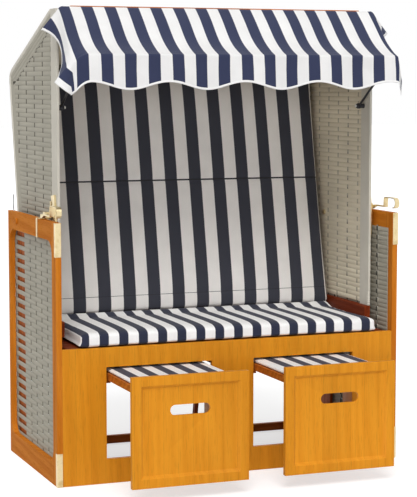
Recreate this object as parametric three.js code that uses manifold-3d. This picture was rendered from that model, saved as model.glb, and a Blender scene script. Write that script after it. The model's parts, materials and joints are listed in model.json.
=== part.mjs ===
// Hooded beach chair for two: a wooden base with woven sides, a woven hood that tilts
// on two bolts, a striped canopy on a folding bow, and two pull-out footrests.
// Units are millimetres. +X is to the right of someone facing the chair, +Y runs from
// the front to the back, and +Z is up. Sizes below count Y from the base's front face.

import * as THREE from 'three';
import { mergeVertices } from 'three/addons/utils/BufferGeometryUtils.js';
import Module from 'manifold-3d';

const wasm = await Module();
wasm.setup();

// Driving dimensions of the base
const GAP = 0.3;
const BASE_HALF = 590;
const BASE_DEPTH = 578;
const SIDE_HEIGHT = 829;
const SIDE_THICK = 18;
const SIDE_INNER = BASE_HALF - SIDE_THICK;
const WINDOW = { front: 45, back: 558, low: 70, high: 769, corner: 45 };
const WEAVE_THICK = 7.4;
const STRAND_COUNT = 23;
const SEAT_HEIGHT = 433;
const BOARD = 18;
const LEG = { offset: 174, thick: 14, width: 20, foot: 557.7, lean: 0.22 };
const POST_DEPTH = 60;
const CAP_THICK = 1.3;

// Driving dimensions of the footrests
const FOOTREST_X = 250;
const OPENING = { half: 178, low: 78, high: 371 };
const FOOTREST_OUT = 283;
const FOOTREST_FRONT = { half: 189, low: 44, high: 384, border: 28, recess: 9, slope: 9 };
const FOOTREST_LENGTH = 448;
const RAIL = { outer: 172, width: 22, low: 328, high: 344 };
const PAD_TOP = 366;
const SHOE = { length: 120, reach: 12, low: 312, high: 326 };

// Driving dimensions of the hood
const HOOD_HALF = 549;
const POST = { width: 8, depth: 65 };
const WALL_THICK = 16;
const SIDE_WALL = 7;
const HOOD_FRONT = 115;
const HOOD_TOP = 1490;
const SILL = { low: 455, high: 505, width: 20 };
const ROOF_FRONT = [190, HOOD_TOP];
const ROOF_BACK = [676, 1305];
const HOOD_CORNER = [705, 1283];
const HOOD_FOOT = [551, 520];
const PIVOT = { y: 465, z: 800 };
const PIVOT_BORE = 6.5;

// Driving dimensions of the cushions and the canopy
const SEAT_HALF = 512;
const BACKREST_HALF = 521;
const SEAT_CUSHION = { front: -3, back: 384, low: SEAT_HEIGHT + GAP, high: 482 };
const BACKREST = { y: 373, z: 486, lean: 11.7, thick: 58, height: 832 };
const BOW = { pivotY: 160, pivotZ: 1181, tipY: -84, tipZ: 1339, half: 522, radius: 5 };
const CANOPY = { thick: 3, valance: 104, scallop: 12, period: 252 };
const CANOPY_STEP = 9;
const CANOPY_LEFT = { rail: 531, bow: 558, frontFlare: 20 };
const CANOPY_RIGHT = { rail: 535, bow: 531, frontFlare: 3 };

// Driving dimensions of the hood adjuster
const RACK = { inner: 315, outer: 345, thick: 7, top: 19, bottom: -33 };
const NOTCH = { count: 6, step: 8, depth: 7, mouth: 1.3, floor: 0.65 };
const SHAFT = { y: 172, z: 838, radius: 4 };
const TOOTH = { y: 161.1, z: 878 };

const finishes = {
  frontWood: { color: 0xcf851b, roughness: 0.45, metalness: 0 },
  sideWood: { color: 0xbe6e28, roughness: 0.5, metalness: 0 },
  innerWood: { color: 0x8a3c14, roughness: 0.6, metalness: 0 },
  wicker: { color: 0xa5a091, roughness: 0.7, metalness: 0 },
  rim: { color: 0xbcb5ab, roughness: 0.65, metalness: 0 },
  cloth: { color: 0xf0eeec, roughness: 0.9, metalness: 0 },
  brass: { color: 0xdcc896, roughness: 0.3, metalness: 0.9 },
  steel: { color: 0x8c8c8c, roughness: 0.4, metalness: 0.9 },
  black: { color: 0x1c1c1e, roughness: 0.45, metalness: 0.6 },
};

// Joining and cutting of closed meshes

function toSolid(geometry) {
  const bare = geometry.clone();
  bare.deleteAttribute('normal');
  bare.deleteAttribute('uv');
  const merged = mergeVertices(bare, 1e-4);
  return new wasm.Manifold(new wasm.Mesh({
    numProp: 3,
    vertProperties: new Float32Array(merged.attributes.position.array),
    triVerts: new Uint32Array(merged.index.array),
  }));
}

function toGeometry(solid) {
  const mesh = solid.getMesh();
  const geometry = new THREE.BufferGeometry();
  geometry.setAttribute('position', new THREE.BufferAttribute(mesh.vertProperties, 3));
  geometry.setIndex(new THREE.BufferAttribute(mesh.triVerts, 1));
  return geometry;
}

function join(...geometries) {
  const solids = geometries.map(toSolid);
  return toGeometry(solids.reduce((whole, next) => whole.add(next)));
}

function cut(geometry, ...tools) {
  const solids = tools.map(toSolid);
  return toGeometry(solids.reduce((rest, next) => rest.subtract(next), toSolid(geometry)));
}

// Basic forms, each given by its lowest and highest corner or by an outline

function box(x0, x1, y0, y1, z0, z1) {
  const geometry = new THREE.BoxGeometry(x1 - x0, y1 - y0, z1 - z0);
  return geometry.translate((x0 + x1) / 2, (y0 + y1) / 2, (z0 + z1) / 2);
}

// A block that narrows from its front face to its rear face by an inset on every side.
// It starts a little before the front face, on the same slopes, so that it cuts cleanly.
function taperedBlock(x0, x1, y0, y1, z0, z1, inset) {
  const before = 1;
  const wider = inset * before / (y1 - y0);
  const geometry = box(x0 - wider, x1 + wider, y0 - before, y1, z0 - wider, z1 + wider);
  const position = geometry.attributes.position;
  const narrow = inset + wider;
  for (let i = 0; i < position.count; i += 1) {
    if (position.getY(i) > y0) {
      position.setX(i, position.getX(i) - Math.sign(position.getX(i) - (x0 + x1) / 2) * narrow);
      position.setZ(i, position.getZ(i) - Math.sign(position.getZ(i) - (z0 + z1) / 2) * narrow);
    }
  }
  return geometry;
}

// An outline in the Y-Z plane, drawn out along X.
function alongX(outline, x0, x1, curveSegments = 8) {
  const geometry = new THREE.ExtrudeGeometry(outline, {
    depth: x1 - x0, bevelEnabled: false, curveSegments,
  });
  const turn = new THREE.Matrix4().makeBasis(
    new THREE.Vector3(0, 1, 0), new THREE.Vector3(0, 0, 1), new THREE.Vector3(1, 0, 0));
  return geometry.applyMatrix4(turn).translate(x0, 0, 0);
}

// An outline in the X-Z plane, drawn out along Y.
function alongY(outline, y0, y1, curveSegments = 8) {
  const geometry = new THREE.ExtrudeGeometry(outline, {
    depth: y1 - y0, bevelEnabled: false, curveSegments,
  });
  return geometry.rotateX(Math.PI / 2).translate(0, y1, 0);
}

function polygon(points) {
  return new THREE.Shape(points.map(([a, b]) => new THREE.Vector2(a, b)));
}

function roundedRectangle(a0, a1, b0, b1, radius, Kind = THREE.Shape) {
  const outline = new Kind();
  outline.moveTo(a0 + radius, b0);
  outline.lineTo(a1 - radius, b0);
  outline.absarc(a1 - radius, b0 + radius, radius, -Math.PI / 2, 0);
  outline.lineTo(a1, b1 - radius);
  outline.absarc(a1 - radius, b1 - radius, radius, 0, Math.PI / 2);
  outline.lineTo(a0 + radius, b1);
  outline.absarc(a0 + radius, b1 - radius, radius, Math.PI / 2, Math.PI);
  outline.lineTo(a0, b0 + radius);
  outline.absarc(a0 + radius, b0 + radius, radius, Math.PI, Math.PI * 1.5);
  return outline;
}

function rectangle(a0, a1, b0, b1) {
  return polygon([[a0, b0], [a1, b0], [a1, b1], [a0, b1]]);
}

function roundHole(a, b, radius) {
  const hole = new THREE.Path();
  hole.absarc(a, b, radius, 0, Math.PI * 2, true);
  return hole;
}

// The same line moved sideways by a distance, to the right of its direction of travel.
function offsetLine(points, distance) {
  const normalOf = (p, q) => {
    const length = Math.hypot(q[0] - p[0], q[1] - p[1]);
    return [(q[1] - p[1]) / length, -(q[0] - p[0]) / length];
  };
  return points.map((point, i) => {
    const before = i > 0 ? normalOf(points[i - 1], point) : null;
    const after = i < points.length - 1 ? normalOf(point, points[i + 1]) : null;
    const first = before ?? after;
    const second = after ?? before;
    const scale = distance / (1 + first[0] * second[0] + first[1] * second[1]);
    return [point[0] + (first[0] + second[0]) * scale, point[1] + (first[1] + second[1]) * scale];
  });
}

// A round piece on an axis along X, from [x, radius] steps.
function turned(steps, y, z, segments = 20) {
  const profile = steps.map(([x, radius]) => new THREE.Vector2(radius, x));
  const geometry = new THREE.LatheGeometry(profile, segments);
  return geometry.rotateZ(-Math.PI / 2).translate(0, y, z);
}

// A sheet of even thickness over a surface given at u from -1 to 1 and v from 0 to 1.
function sheet(pointAt, columns, rows, thickness) {
  const across = (i) => (2 * i) / columns - 1;
  const down = (j) => j / rows;
  const normalAt = (u, v) => {
    const step = 0.002;
    const alongU = pointAt(u + step, v).sub(pointAt(u - step, v));
    const alongV = pointAt(u, Math.min(v + step, 1)).sub(pointAt(u, Math.max(v - step, 0)));
    return alongV.cross(alongU).normalize();
  };
  const positions = [];
  for (const side of [0.5, -0.5]) {
    for (let j = 0; j <= rows; j += 1) {
      for (let i = 0; i <= columns; i += 1) {
        const point = pointAt(across(i), down(j));
        point.addScaledVector(normalAt(across(i), down(j)), side * thickness);
        positions.push(point.x, point.y, point.z);
      }
    }
  }
  const layer = (columns + 1) * (rows + 1);
  const at = (i, j, k) => k * layer + j * (columns + 1) + i;
  const index = [];
  const quad = (a, b, c, d) => index.push(a, b, c, a, c, d);
  for (let j = 0; j < rows; j += 1) {
    for (let i = 0; i < columns; i += 1) {
      quad(at(i, j, 0), at(i, j + 1, 0), at(i + 1, j + 1, 0), at(i + 1, j, 0));
      quad(at(i, j, 1), at(i + 1, j, 1), at(i + 1, j + 1, 1), at(i, j + 1, 1));
    }
    quad(at(0, j, 0), at(0, j, 1), at(0, j + 1, 1), at(0, j + 1, 0));
    quad(at(columns, j, 0), at(columns, j + 1, 0), at(columns, j + 1, 1), at(columns, j, 1));
  }
  for (let i = 0; i < columns; i += 1) {
    quad(at(i, 0, 0), at(i + 1, 0, 0), at(i + 1, 0, 1), at(i, 0, 1));
    quad(at(i, rows, 0), at(i, rows, 1), at(i + 1, rows, 1), at(i + 1, rows, 0));
  }
  const geometry = new THREE.BufferGeometry();
  geometry.setAttribute('position', new THREE.Float32BufferAttribute(positions, 3));
  geometry.setIndex(index);
  return geometry;
}

// A cushion lying in X-Y: rounded edges, a crown on top, sides drawn in between the
// corners, and sewn channels that run along X at the given places across its depth.
function cushion({ half, y0, y1, z0, z1, round, crown, drawIn, channels = [], cells }) {
  const geometry = new THREE.BoxGeometry(2, 2, 2, ...cells);
  const halves = [half, (y1 - y0) / 2, (z1 - z0) / 2];
  const centre = [0, (y0 + y1) / 2, (z0 + z1) / 2];
  const position = geometry.attributes.position;
  for (let i = 0; i < position.count; i += 1) {
    const share = [position.getX(i), position.getY(i), position.getZ(i)];
    const full = share.map((value, axis) => Math.sin(value * Math.PI / 2) * halves[axis]);
    const core = full.map((value, axis) => {
      const limit = halves[axis] - round;
      return Math.min(Math.max(value, -limit), limit);
    });
    const out = new THREE.Vector3(...full).sub(new THREE.Vector3(...core));
    const reach = Math.min(out.length(), round);
    out.setLength(reach > 0 ? round : 0);
    const point = new THREE.Vector3(...core).add(out);
    const a = point.x / halves[0];
    const b = point.y / halves[1];
    const upper = Math.max(point.z / halves[2], 0);
    point.x -= Math.sign(a) * drawIn * Math.abs(a) ** 3 * (1 - b * b);
    point.y -= Math.sign(b) * drawIn * Math.abs(b) ** 3 * (1 - a * a);
    point.z += crown * upper * (1 - a ** 4) * (1 - b ** 4);
    for (const { at, width, depth } of channels) {
      const distance = (point.y + centre[1] - at) / width;
      point.z -= depth * upper * Math.exp(-distance * distance);
    }
    position.setXYZ(i, point.x + centre[0], point.y + centre[1], point.z + centre[2]);
  }
  return geometry;
}

// The scene graph

const chair = new THREE.Group();
const base = new THREE.Group();
const hood = new THREE.Group();
chair.add(base, hood);

function add(group, name, geometry, finish) {
  const mesh = new THREE.Mesh(geometry, new THREE.MeshStandardMaterial(finishes[finish]));
  mesh.name = name;
  group.add(mesh);
  return mesh;
}

// A right-hand piece and its mirror image on the left.
function addPair(group, name, geometry, finish) {
  add(group, `${name}_right`, geometry, finish);
  add(group, `${name}_left`, geometry, finish).scale.x = -1;
}

// Side frame: one board with a large window, its corners rounded.
function sideFrame() {
  const outline = rectangle(0, BASE_DEPTH, 0, SIDE_HEIGHT);
  outline.holes.push(roundedRectangle(
    WINDOW.front, WINDOW.back, WINDOW.low, WINDOW.high, WINDOW.corner, THREE.Path));
  outline.holes.push(roundHole(PIVOT.y, PIVOT.z, PIVOT_BORE));
  return alongX(outline, SIDE_INNER, BASE_HALF);
}

// Woven filling behind the window. Along its rear edge only every second strand runs
// on to the frame, so a comb of open slots is left there.
const weave = { front: 27, back: 574, low: 52, high: 784, inner: SIDE_INNER - GAP - WEAVE_THICK };
const comb = { front: 440, back: 551 };

function sideWeave() {
  const outline = rectangle(weave.front, weave.back, weave.low, weave.high);
  const pitch = (WINDOW.high - WINDOW.low) / STRAND_COUNT;
  for (let i = 0; i < STRAND_COUNT; i += 1) {
    const low = WINDOW.low + pitch * (i + 0.25);
    outline.holes.push(rectangle(comb.front, comb.back, low, low + pitch / 2));
  }
  return alongX(outline, weave.inner, weave.inner + WEAVE_THICK);
}

// Rear stile: the wide upright board that shows between the strands of the comb.
function rearStile() {
  const outer = weave.inner - GAP;
  return box(outer - 10, outer, 436, BASE_DEPTH - 4, 29, 780);
}

addPair(base, 'side_frame', sideFrame(), 'sideWood');
addPair(base, 'side_weave', sideWeave(), 'wicker');
addPair(base, 'rear_stile', rearStile(), 'sideWood');

// Seat front: a full-width board with one opening for each footrest, and an upright
// batten behind it on each side of both openings. The battens carry the runners.
const LIP = 8;
const batten = { from: 180, to: 198, high: SHOE.low - 1 - LIP - GAP };

function frontPanel() {
  const reach = SIDE_INNER - GAP;
  const openings = [-FOOTREST_X, FOOTREST_X].map((centre) => box(
    centre - OPENING.half, centre + OPENING.half, -1, BOARD + 1, OPENING.low, OPENING.high));
  const panel = cut(box(-reach, reach, 0, BOARD, 0, SEAT_HEIGHT), ...openings);
  const battens = [-FOOTREST_X, FOOTREST_X].flatMap((centre) => [
    box(centre - batten.to, centre - batten.from, BOARD - 1, BOARD + POST_DEPTH, 0, batten.high),
    box(centre + batten.from, centre + batten.to, BOARD - 1, BOARD + POST_DEPTH, 0, batten.high),
  ]);
  return join(panel, ...battens);
}

add(base, 'front_panel', frontPanel(), 'frontWood');

// Rear rails, seat bearers and the seat board.
const railReach = weave.inner - GAP;
const boardLow = SEAT_HEIGHT - 14.5;
add(base, 'rear_bottom_rail', box(-railReach, railReach, 558, 576, 0, 28), 'sideWood');

const rearTopRail = { front: 521, back: 539, low: 350, reach: railReach - 11 };
add(base, 'rear_top_rail', box(
  -rearTopRail.reach, rearTopRail.reach, rearTopRail.front, rearTopRail.back,
  rearTopRail.low, boardLow - GAP), 'innerWood');

addPair(base, 'seat_bearer', box(
  railReach - 30, railReach, BOARD + GAP, 435, boardLow - 44, boardLow - GAP), 'innerWood');

add(base, 'seat_board', box(
  -railReach + 11, railReach - 11, BOARD + GAP, 540, boardLow, SEAT_HEIGHT - GAP), 'innerWood');

// Legs: four thin bars that lean forward from the rear bottom rail to the seat board.
// A runner for a footrest ends against each of them.
function seatLeg() {
  const top = boardLow - GAP;
  const shift = LEG.lean * top;
  return alongX(polygon([
    [LEG.foot - LEG.width, 0], [LEG.foot, 0],
    [LEG.foot - shift, top], [LEG.foot - LEG.width - shift, top],
  ]), 0, LEG.thick);
}

// Runner: a channel along Y, open towards the footrest, that holds the footrest's shoe.
function runner() {
  const low = SHOE.low - 1;
  const high = SHOE.high + 1;
  const lip = RAIL.outer + 3;
  const back = RAIL.outer + SHOE.reach + 2;
  const outline = polygon([
    [lip, low - LIP], [batten.to, low - LIP], [batten.to, high + LIP], [lip, high + LIP],
    [lip, high], [back, high], [back, low], [lip, low],
  ]);
  const legFront = LEG.foot - LEG.width - LEG.lean * (high + LIP);
  return alongY(outline, BOARD + GAP, legFront - GAP);
}

function addRunners() {
  for (const [place, centre] of [['left', -FOOTREST_X], ['right', FOOTREST_X]]) {
    for (const [hand, side] of [['a', -1], ['b', 1]]) {
      const leg = add(base, `seat_leg_${place}_${hand}`, seatLeg(), 'innerWood');
      leg.position.x = centre + side * LEG.offset - (side < 0 ? LEG.thick : 0);
      const rail = add(base, `runner_${place}_${hand}`, runner(), 'innerWood');
      rail.position.x = centre;
      rail.scale.x = side;
    }
  }
}

addRunners();

// Corner caps: thin brass angles on the front edge of each side, at its top and bottom.
function cornerCap() {
  const out = BASE_HALF + GAP;
  const front = -GAP;
  const outline = polygon([
    [SIDE_INNER + 1, front], [out, front], [out, 13], [out + CAP_THICK, 13],
    [out + CAP_THICK, front - CAP_THICK], [SIDE_INNER + 1, front - CAP_THICK],
  ]);
  const geometry = new THREE.ExtrudeGeometry(outline, { depth: 106, bevelEnabled: false });
  return geometry;
}

addPair(base, 'bottom_cap', cornerCap().translate(0, 0, 0.5), 'brass');
addPair(base, 'top_cap', cornerCap().translate(0, 0, SIDE_HEIGHT - 106.5), 'brass');

// Rear pins: two thin upright pins on the top rails.
const rearPin = new THREE.CylinderGeometry(2, 2, 56, 10).rotateX(Math.PI / 2);
addPair(base, 'rear_pin', rearPin.translate(580, 543, SIDE_HEIGHT + GAP + 28), 'steel');

// Tilt bolts: head, shank through the frame, spacer, shank through the hood, and nut.
addPair(base, 'tilt_bolt', turned([
  [534.5, 0], [534.5, 8], [540.7, 9], [540.7, 6], [549.4, 6], [549.4, 14], [SIDE_INNER - GAP, 14],
  [SIDE_INNER - GAP, 6], [BASE_HALF + GAP, 6], [BASE_HALF + GAP, 13], [BASE_HALF + 3, 12],
  [BASE_HALF + 5.5, 7], [BASE_HALF + 6, 0],
], PIVOT.y, PIVOT.z), 'brass');

const strap = { front: 199, back: 211, low: 768 };

// Catch block: a bored brass block on the top rail, with a leg down the rail's inner
// face and a plate that runs back and ends in a strap down its outer face.
function catchBlock() {
  const foot = SIDE_HEIGHT + GAP;
  const outline = roundedRectangle(SHAFT.y - 14, SHAFT.y + 14, foot, SHAFT.z + 13, 4);
  outline.holes.push(roundHole(SHAFT.y, SHAFT.z, SHAFT.radius + 0.3));
  const block = alongX(outline, 557, 577.5, 5);
  const leg = box(SIDE_INNER - 5, SIDE_INNER - GAP, SHAFT.y - 12, SHAFT.y + 12, 799, 832);
  const plate = box(560, BASE_HALF + 2, SHAFT.y + 8, strap.back, foot, foot + 1.6);
  const down = alongX(polygon([
    [strap.front, strap.low], [strap.back, strap.low], [strap.back, foot + 1.6],
    [strap.front, foot + 1.6],
  ]), BASE_HALF + GAP, BASE_HALF + 4);
  return join(block, leg, plate, down);
}

addPair(base, 'catch_block', catchBlock(), 'brass');

// Seat cushion
add(base, 'seat_cushion', cushion({
  half: SEAT_HALF, y0: SEAT_CUSHION.front, y1: SEAT_CUSHION.back,
  z0: SEAT_CUSHION.low, z1: SEAT_CUSHION.high,
  round: 14, crown: 5, drawIn: 4, cells: [18, 10, 4],
}), 'cloth');

// Hood sides: a thin woven wall with a deep smooth post along its front edge, and a
// wooden sill. Both end just under the roof.
const hoodShell = [ROOF_FRONT, ROOF_BACK, HOOD_CORNER, HOOD_FOOT];
const underRoof = offsetLine(hoodShell, WALL_THICK + GAP);
const wallInner = HOOD_HALF - POST.width;
const postBack = HOOD_FRONT + POST.depth;

function hoodSide() {
  const front = postBack + GAP;
  const lean = (HOOD_CORNER[0] - HOOD_FOOT[0]) / (HOOD_CORNER[1] - HOOD_FOOT[1]);
  const drop = underRoof[3][1] - (SILL.high + GAP);
  const foot = [underRoof[3][0] - lean * drop, SILL.high + GAP];
  const outline = polygon([
    [front, SILL.high + GAP], foot, underRoof[2], underRoof[1], underRoof[0],
    [front, underRoof[0][1]],
  ]);
  outline.holes.push(roundHole(PIVOT.y, PIVOT.z, PIVOT_BORE));
  return alongX(outline, wallInner, wallInner + SIDE_WALL);
}

addPair(hood, 'hood_side', hoodSide(), 'wicker');

addPair(hood, 'hood_post', box(
  wallInner, HOOD_HALF, HOOD_FRONT, postBack, SILL.high + GAP, HOOD_TOP - GAP), 'rim');
addPair(hood, 'hood_sill', box(
  HOOD_HALF - SILL.width, HOOD_HALF, HOOD_FRONT, 548, SILL.low, SILL.high), 'innerWood');

// Roof and back: woven panels over the full width. The roof turns down at the rear.
const crossReach = HOOD_HALF - POST.width - GAP;

function shellPanel(line) {
  const inside = offsetLine(line, WALL_THICK);
  return alongX(polygon([...line, ...inside.reverse()]), -HOOD_HALF, HOOD_HALF);
}

function pointBetween(p, q, share) {
  return [p[0] + (q[0] - p[0]) * share, p[1] + (q[1] - p[1]) * share];
}

const seamShare = 0.055;
const roofEnd = pointBetween(HOOD_CORNER, HOOD_FOOT, seamShare);
const backStart = pointBetween(HOOD_CORNER, HOOD_FOOT, seamShare + 0.0006);
add(hood, 'hood_roof', shellPanel([ROOF_FRONT, ROOF_BACK, HOOD_CORNER, roofEnd]), 'wicker');
add(hood, 'hood_back', shellPanel([backStart, HOOD_FOOT]), 'wicker');

add(hood, 'hood_top_rail', box(
  -crossReach, crossReach, HOOD_FRONT + 1, ROOF_FRONT[0] - 6, HOOD_TOP - 25, HOOD_TOP - 0.5),
'frontWood');
add(hood, 'hood_cross_rail', box(-crossReach, crossReach, 500, 530, 516, 560), 'innerWood');

// Backrest: a board across the hood with a long cushion on it, leaning back.
const backrest = new THREE.Group();
backrest.position.set(0, BACKREST.y, BACKREST.z);
backrest.rotation.x = -THREE.MathUtils.degToRad(BACKREST.lean);
hood.add(backrest);

const boardReach = HOOD_HALF - SILL.width - GAP;
add(backrest, 'backrest_board', box(
  -boardReach, boardReach, BACKREST.thick + 3, BACKREST.thick + 15, 6, BACKREST.height - 10),
'innerWood');

// Its local Y runs into the board, so the lying cushion form is stood up on its edge.
// Two seams cross it: one at mid height and one low down.
const seams = [{ at: 72, width: 9, depth: 7 }, { at: 462, width: 12, depth: 12 }];
const standing = cushion({
  half: BACKREST_HALF, y0: 0, y1: BACKREST.height, z0: -BACKREST.thick, z1: -7,
  round: 18, crown: 5, drawIn: 4, channels: seams, cells: [16, 18, 4],
});
const standUp = new THREE.Matrix4().makeBasis(
  new THREE.Vector3(1, 0, 0), new THREE.Vector3(0, 0, 1), new THREE.Vector3(0, -1, 0));
add(backrest, 'backrest_cushion', standing.applyMatrix4(standUp), 'cloth');

// Hood adjuster: a toothed brass arc about the tilt bolt on each side of the hood. The
// lever's tooth stands clear of it here, and drops into a notch when the handle is down.
function rack() {
  const outline = new THREE.Shape();
  const radians = THREE.MathUtils.degToRad;
  const place = (radius, degrees) => [
    PIVOT.y - radius * Math.cos(radians(degrees)), PIVOT.z + radius * Math.sin(radians(degrees)),
  ];
  const points = [];
  for (let degrees = RACK.bottom; degrees <= RACK.top; degrees += 3) {
    points.push(place(RACK.outer, degrees));
  }
  const first = THREE.MathUtils.radToDeg(Math.asin((TOOTH.z - PIVOT.z) / RACK.inner));
  points.push(place(RACK.inner, RACK.top));
  for (let i = 0; i < NOTCH.count; i += 1) {
    const middle = first - i * NOTCH.step;
    const floor = RACK.inner + NOTCH.depth;
    points.push(place(RACK.inner, middle + NOTCH.mouth), place(floor, middle + NOTCH.floor));
    points.push(place(floor, middle - NOTCH.floor), place(RACK.inner, middle - NOTCH.mouth));
    points.push(place(RACK.inner, middle - NOTCH.step / 2));
  }
  points.push(place(RACK.inner, RACK.bottom));
  outline.setFromPoints(points.map(([y, z]) => new THREE.Vector2(y, z)));
  return alongX(outline, HOOD_HALF + GAP, HOOD_HALF + GAP + RACK.thick);
}

addPair(hood, 'tilt_rack', rack(), 'brass');

// Release lever: a shaft with a toothed finger behind the rack at its inner end, and at
// its outer end an arm that runs forward along the rail to a scroll for the hand.
const scroll = { front: -14, back: 72, low: 843, high: 878, strip: 2.6 };

function releaseLever() {
  const shaft = turned(
    [[551, 0], [551, SHAFT.radius], [580, SHAFT.radius], [580, 0]], SHAFT.y, SHAFT.z, 14);
  const finger = alongX(polygon([
    [SHAFT.y - 6, SHAFT.z - 5], [SHAFT.y + 6, SHAFT.z - 5], [SHAFT.y + 5, TOOTH.z + 7],
    [SHAFT.y - 4, TOOTH.z + 7], [SHAFT.y - 5, TOOTH.z + 3.5], [TOOTH.y, TOOTH.z + 0.6],
    [TOOTH.y, TOOTH.z - 0.6], [SHAFT.y - 5, TOOTH.z - 3.5],
  ]), HOOD_HALF + GAP + 0.2, 556.6);
  const arm = alongX(polygon([
    [SHAFT.y + 7, SHAFT.z - 6], [SHAFT.y + 7, SHAFT.z + 6], [SHAFT.y - 8, SHAFT.z + 6],
    [SHAFT.y - 30, scroll.low + 4], [scroll.back - 1, scroll.low + 4],
    [scroll.back - 1, scroll.low], [SHAFT.y - 32, scroll.low - 1], [SHAFT.y - 8, SHAFT.z - 6],
  ]), 578, 588);
  return join(shaft, finger, arm, scrollStrip());
}

// The scroll's strip, as a line with a thickness: up from the arm, forward over the top,
// down in a round front and back a little way underneath.
function scrollStrip() {
  const radius = (scroll.high - scroll.low) / 2;
  const centre = [scroll.front + radius, scroll.low + radius];
  const line = [[scroll.back, scroll.low], [scroll.back - 3, scroll.high - 4]];
  line.push([scroll.back - 10, scroll.high]);
  for (let i = 0; i <= 8; i += 1) {
    const angle = Math.PI / 2 + i * Math.PI / 7.4;
    line.push([centre[0] + radius * Math.cos(angle), centre[1] + radius * Math.sin(angle)]);
  }
  const inside = offsetLine(line, -scroll.strip);
  return alongX(polygon([...line, ...inside.reverse()]), 573, 589);
}

addPair(base, 'release_lever', releaseLever(), 'brass');

// Canopy bow: a bent rod whose two arms turn on the brackets inside the hood's posts.
function canopyBow() {
  const corner = 30;
  const arm = new THREE.Vector3(0, BOW.tipY - BOW.pivotY, BOW.tipZ - BOW.pivotZ);
  const armLength = arm.length();
  const along = arm.clone().normalize();
  const path = new THREE.CurvePath();
  const at = (x, distance) => new THREE.Vector3(
    x, BOW.pivotY + along.y * distance, BOW.pivotZ + along.z * distance);
  const start = 8;
  path.add(new THREE.LineCurve3(at(-BOW.half, start), at(-BOW.half, armLength - corner)));
  path.add(new THREE.QuadraticBezierCurve3(
    at(-BOW.half, armLength - corner), at(-BOW.half, armLength), at(-BOW.half + corner, armLength)));
  path.add(new THREE.LineCurve3(at(-BOW.half + corner, armLength), at(BOW.half - corner, armLength)));
  path.add(new THREE.QuadraticBezierCurve3(
    at(BOW.half - corner, armLength), at(BOW.half, armLength), at(BOW.half, armLength - corner)));
  path.add(new THREE.LineCurve3(at(BOW.half, armLength - corner), at(BOW.half, start)));
  const section = new THREE.Shape();
  section.absarc(0, 0, BOW.radius, 0, Math.PI * 2);
  const rod = new THREE.ExtrudeGeometry(section, {
    steps: 60, curveSegments: 5, extrudePath: path,
  });
  const eyes = [-1, 1].map((side) => {
    const inner = side * (BOW.half - 5);
    const outer = side * (BOW.half + 5);
    const from = Math.min(inner, outer);
    return turned([[from, 3.4], [from, 11], [from + 10, 11], [from + 10, 3.4], [from, 3.4]],
      BOW.pivotY, BOW.pivotZ, 18);
  });
  const arms = [-1, 1].map((side) => {
    const from = Math.min(side * (BOW.half - 4), side * (BOW.half + 4));
    const foot = at(0, 9);
    const head = at(0, 40);
    const aside = new THREE.Vector3(0, -along.z, along.y).multiplyScalar(6);
    return alongX(polygon([
      [foot.y + aside.y, foot.z + aside.z], [foot.y - aside.y, foot.z - aside.z],
      [head.y - aside.y, head.z - aside.z], [head.y + aside.y, head.z + aside.z],
    ].reverse()), from, from + 8);
  });
  return join(rod, ...eyes, ...arms);
}

add(hood, 'canopy_bow', canopyBow(), 'black');

// Bow brackets: a round foot on the post, with a pin through the bow's eye and a knob.
const bracketSteps = [
  [510, 0], [510, 7], [516, 9], [516.4, 3], [527.6, 3], [527.6, 13],
  [HOOD_HALF - POST.width - GAP, 13], [HOOD_HALF - POST.width - GAP, 0],
];
addPair(hood, 'bow_bracket', turned(bracketSteps, BOW.pivotY, BOW.pivotZ), 'black');

// Canopy: one cloth from the top rail over the bow, with a scalloped valance in front
// and flared flaps at both sides. It is laid out as on a table whose top is the line
// from rail to bow, and what reaches past the table's edges hangs down.
const canopyLine = new THREE.CatmullRomCurve3([
  new THREE.Vector3(0, 119, HOOD_TOP + 5), new THREE.Vector3(0, 107, HOOD_TOP + 2.5),
  new THREE.Vector3(0, 62, 1458), new THREE.Vector3(0, -4, 1397),
  new THREE.Vector3(0, -56, 1362), new THREE.Vector3(0, BOW.tipY - 3, BOW.tipZ + 8.5),
], false, 'catmullrom', 0.5);

function canopyPoint(u, v) {
  const flapShare = 0.12;
  const topShare = 0.62;
  const side = Math.sign(u);
  const reach = Math.abs(u);
  const top = Math.min(v / topShare, 1);
  const edgeOf = side < 0 ? CANOPY_LEFT : CANOPY_RIGHT;
  const half = edgeOf.rail + (edgeOf.bow - edgeOf.rail) * top;
  const s = Math.min(reach / (1 - flapShare), 1) * half;
  const flapLength = 62 + 40 * (1 - top) ** 3 + 34 * top ** 4;
  const valance = CANOPY.valance - CANOPY.scallop * Math.cos(2 * Math.PI * s / CANOPY.period);
  const pastSide = Math.max(reach - (1 - flapShare), 0) / flapShare * flapLength;
  const pastFront = Math.max(v - topShare, 0) / (1 - topShare) * valance;
  const past = Math.hypot(pastSide, pastFront);
  const edge = canopyLine.getPointAt(top);
  const step = CANOPY_STEP * (1 - top) ** 4 * THREE.MathUtils.smoothstep(s, half - 60, half);
  const y = edge.y - step;
  if (past === 0) return new THREE.Vector3(side * s, y, edge.z);
  const frontShare = pastFront / past;
  const bend = 12;
  const sideFlare = 8 + 32 * (1 - top) ** 4 + edgeOf.frontFlare * top ** 3;
  const flare = THREE.MathUtils.degToRad(sideFlare + (4 - sideFlare) * frontShare);
  const round = Math.min(past / bend, 1) * (Math.PI / 2 - flare);
  const turn = bend / (Math.PI / 2 - flare);
  const straight = Math.max(past - bend, 0);
  const outward = turn * Math.sin(round) + straight * Math.sin(flare);
  const drop = turn * (1 - Math.cos(round)) + straight * Math.cos(flare);
  return new THREE.Vector3(
    side * (s + outward * pastSide / past), y - outward * frontShare, edge.z - drop);
}

add(hood, 'canopy_cloth', sheet(canopyPoint, 32, 17, CANOPY.thick), 'cloth');

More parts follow.
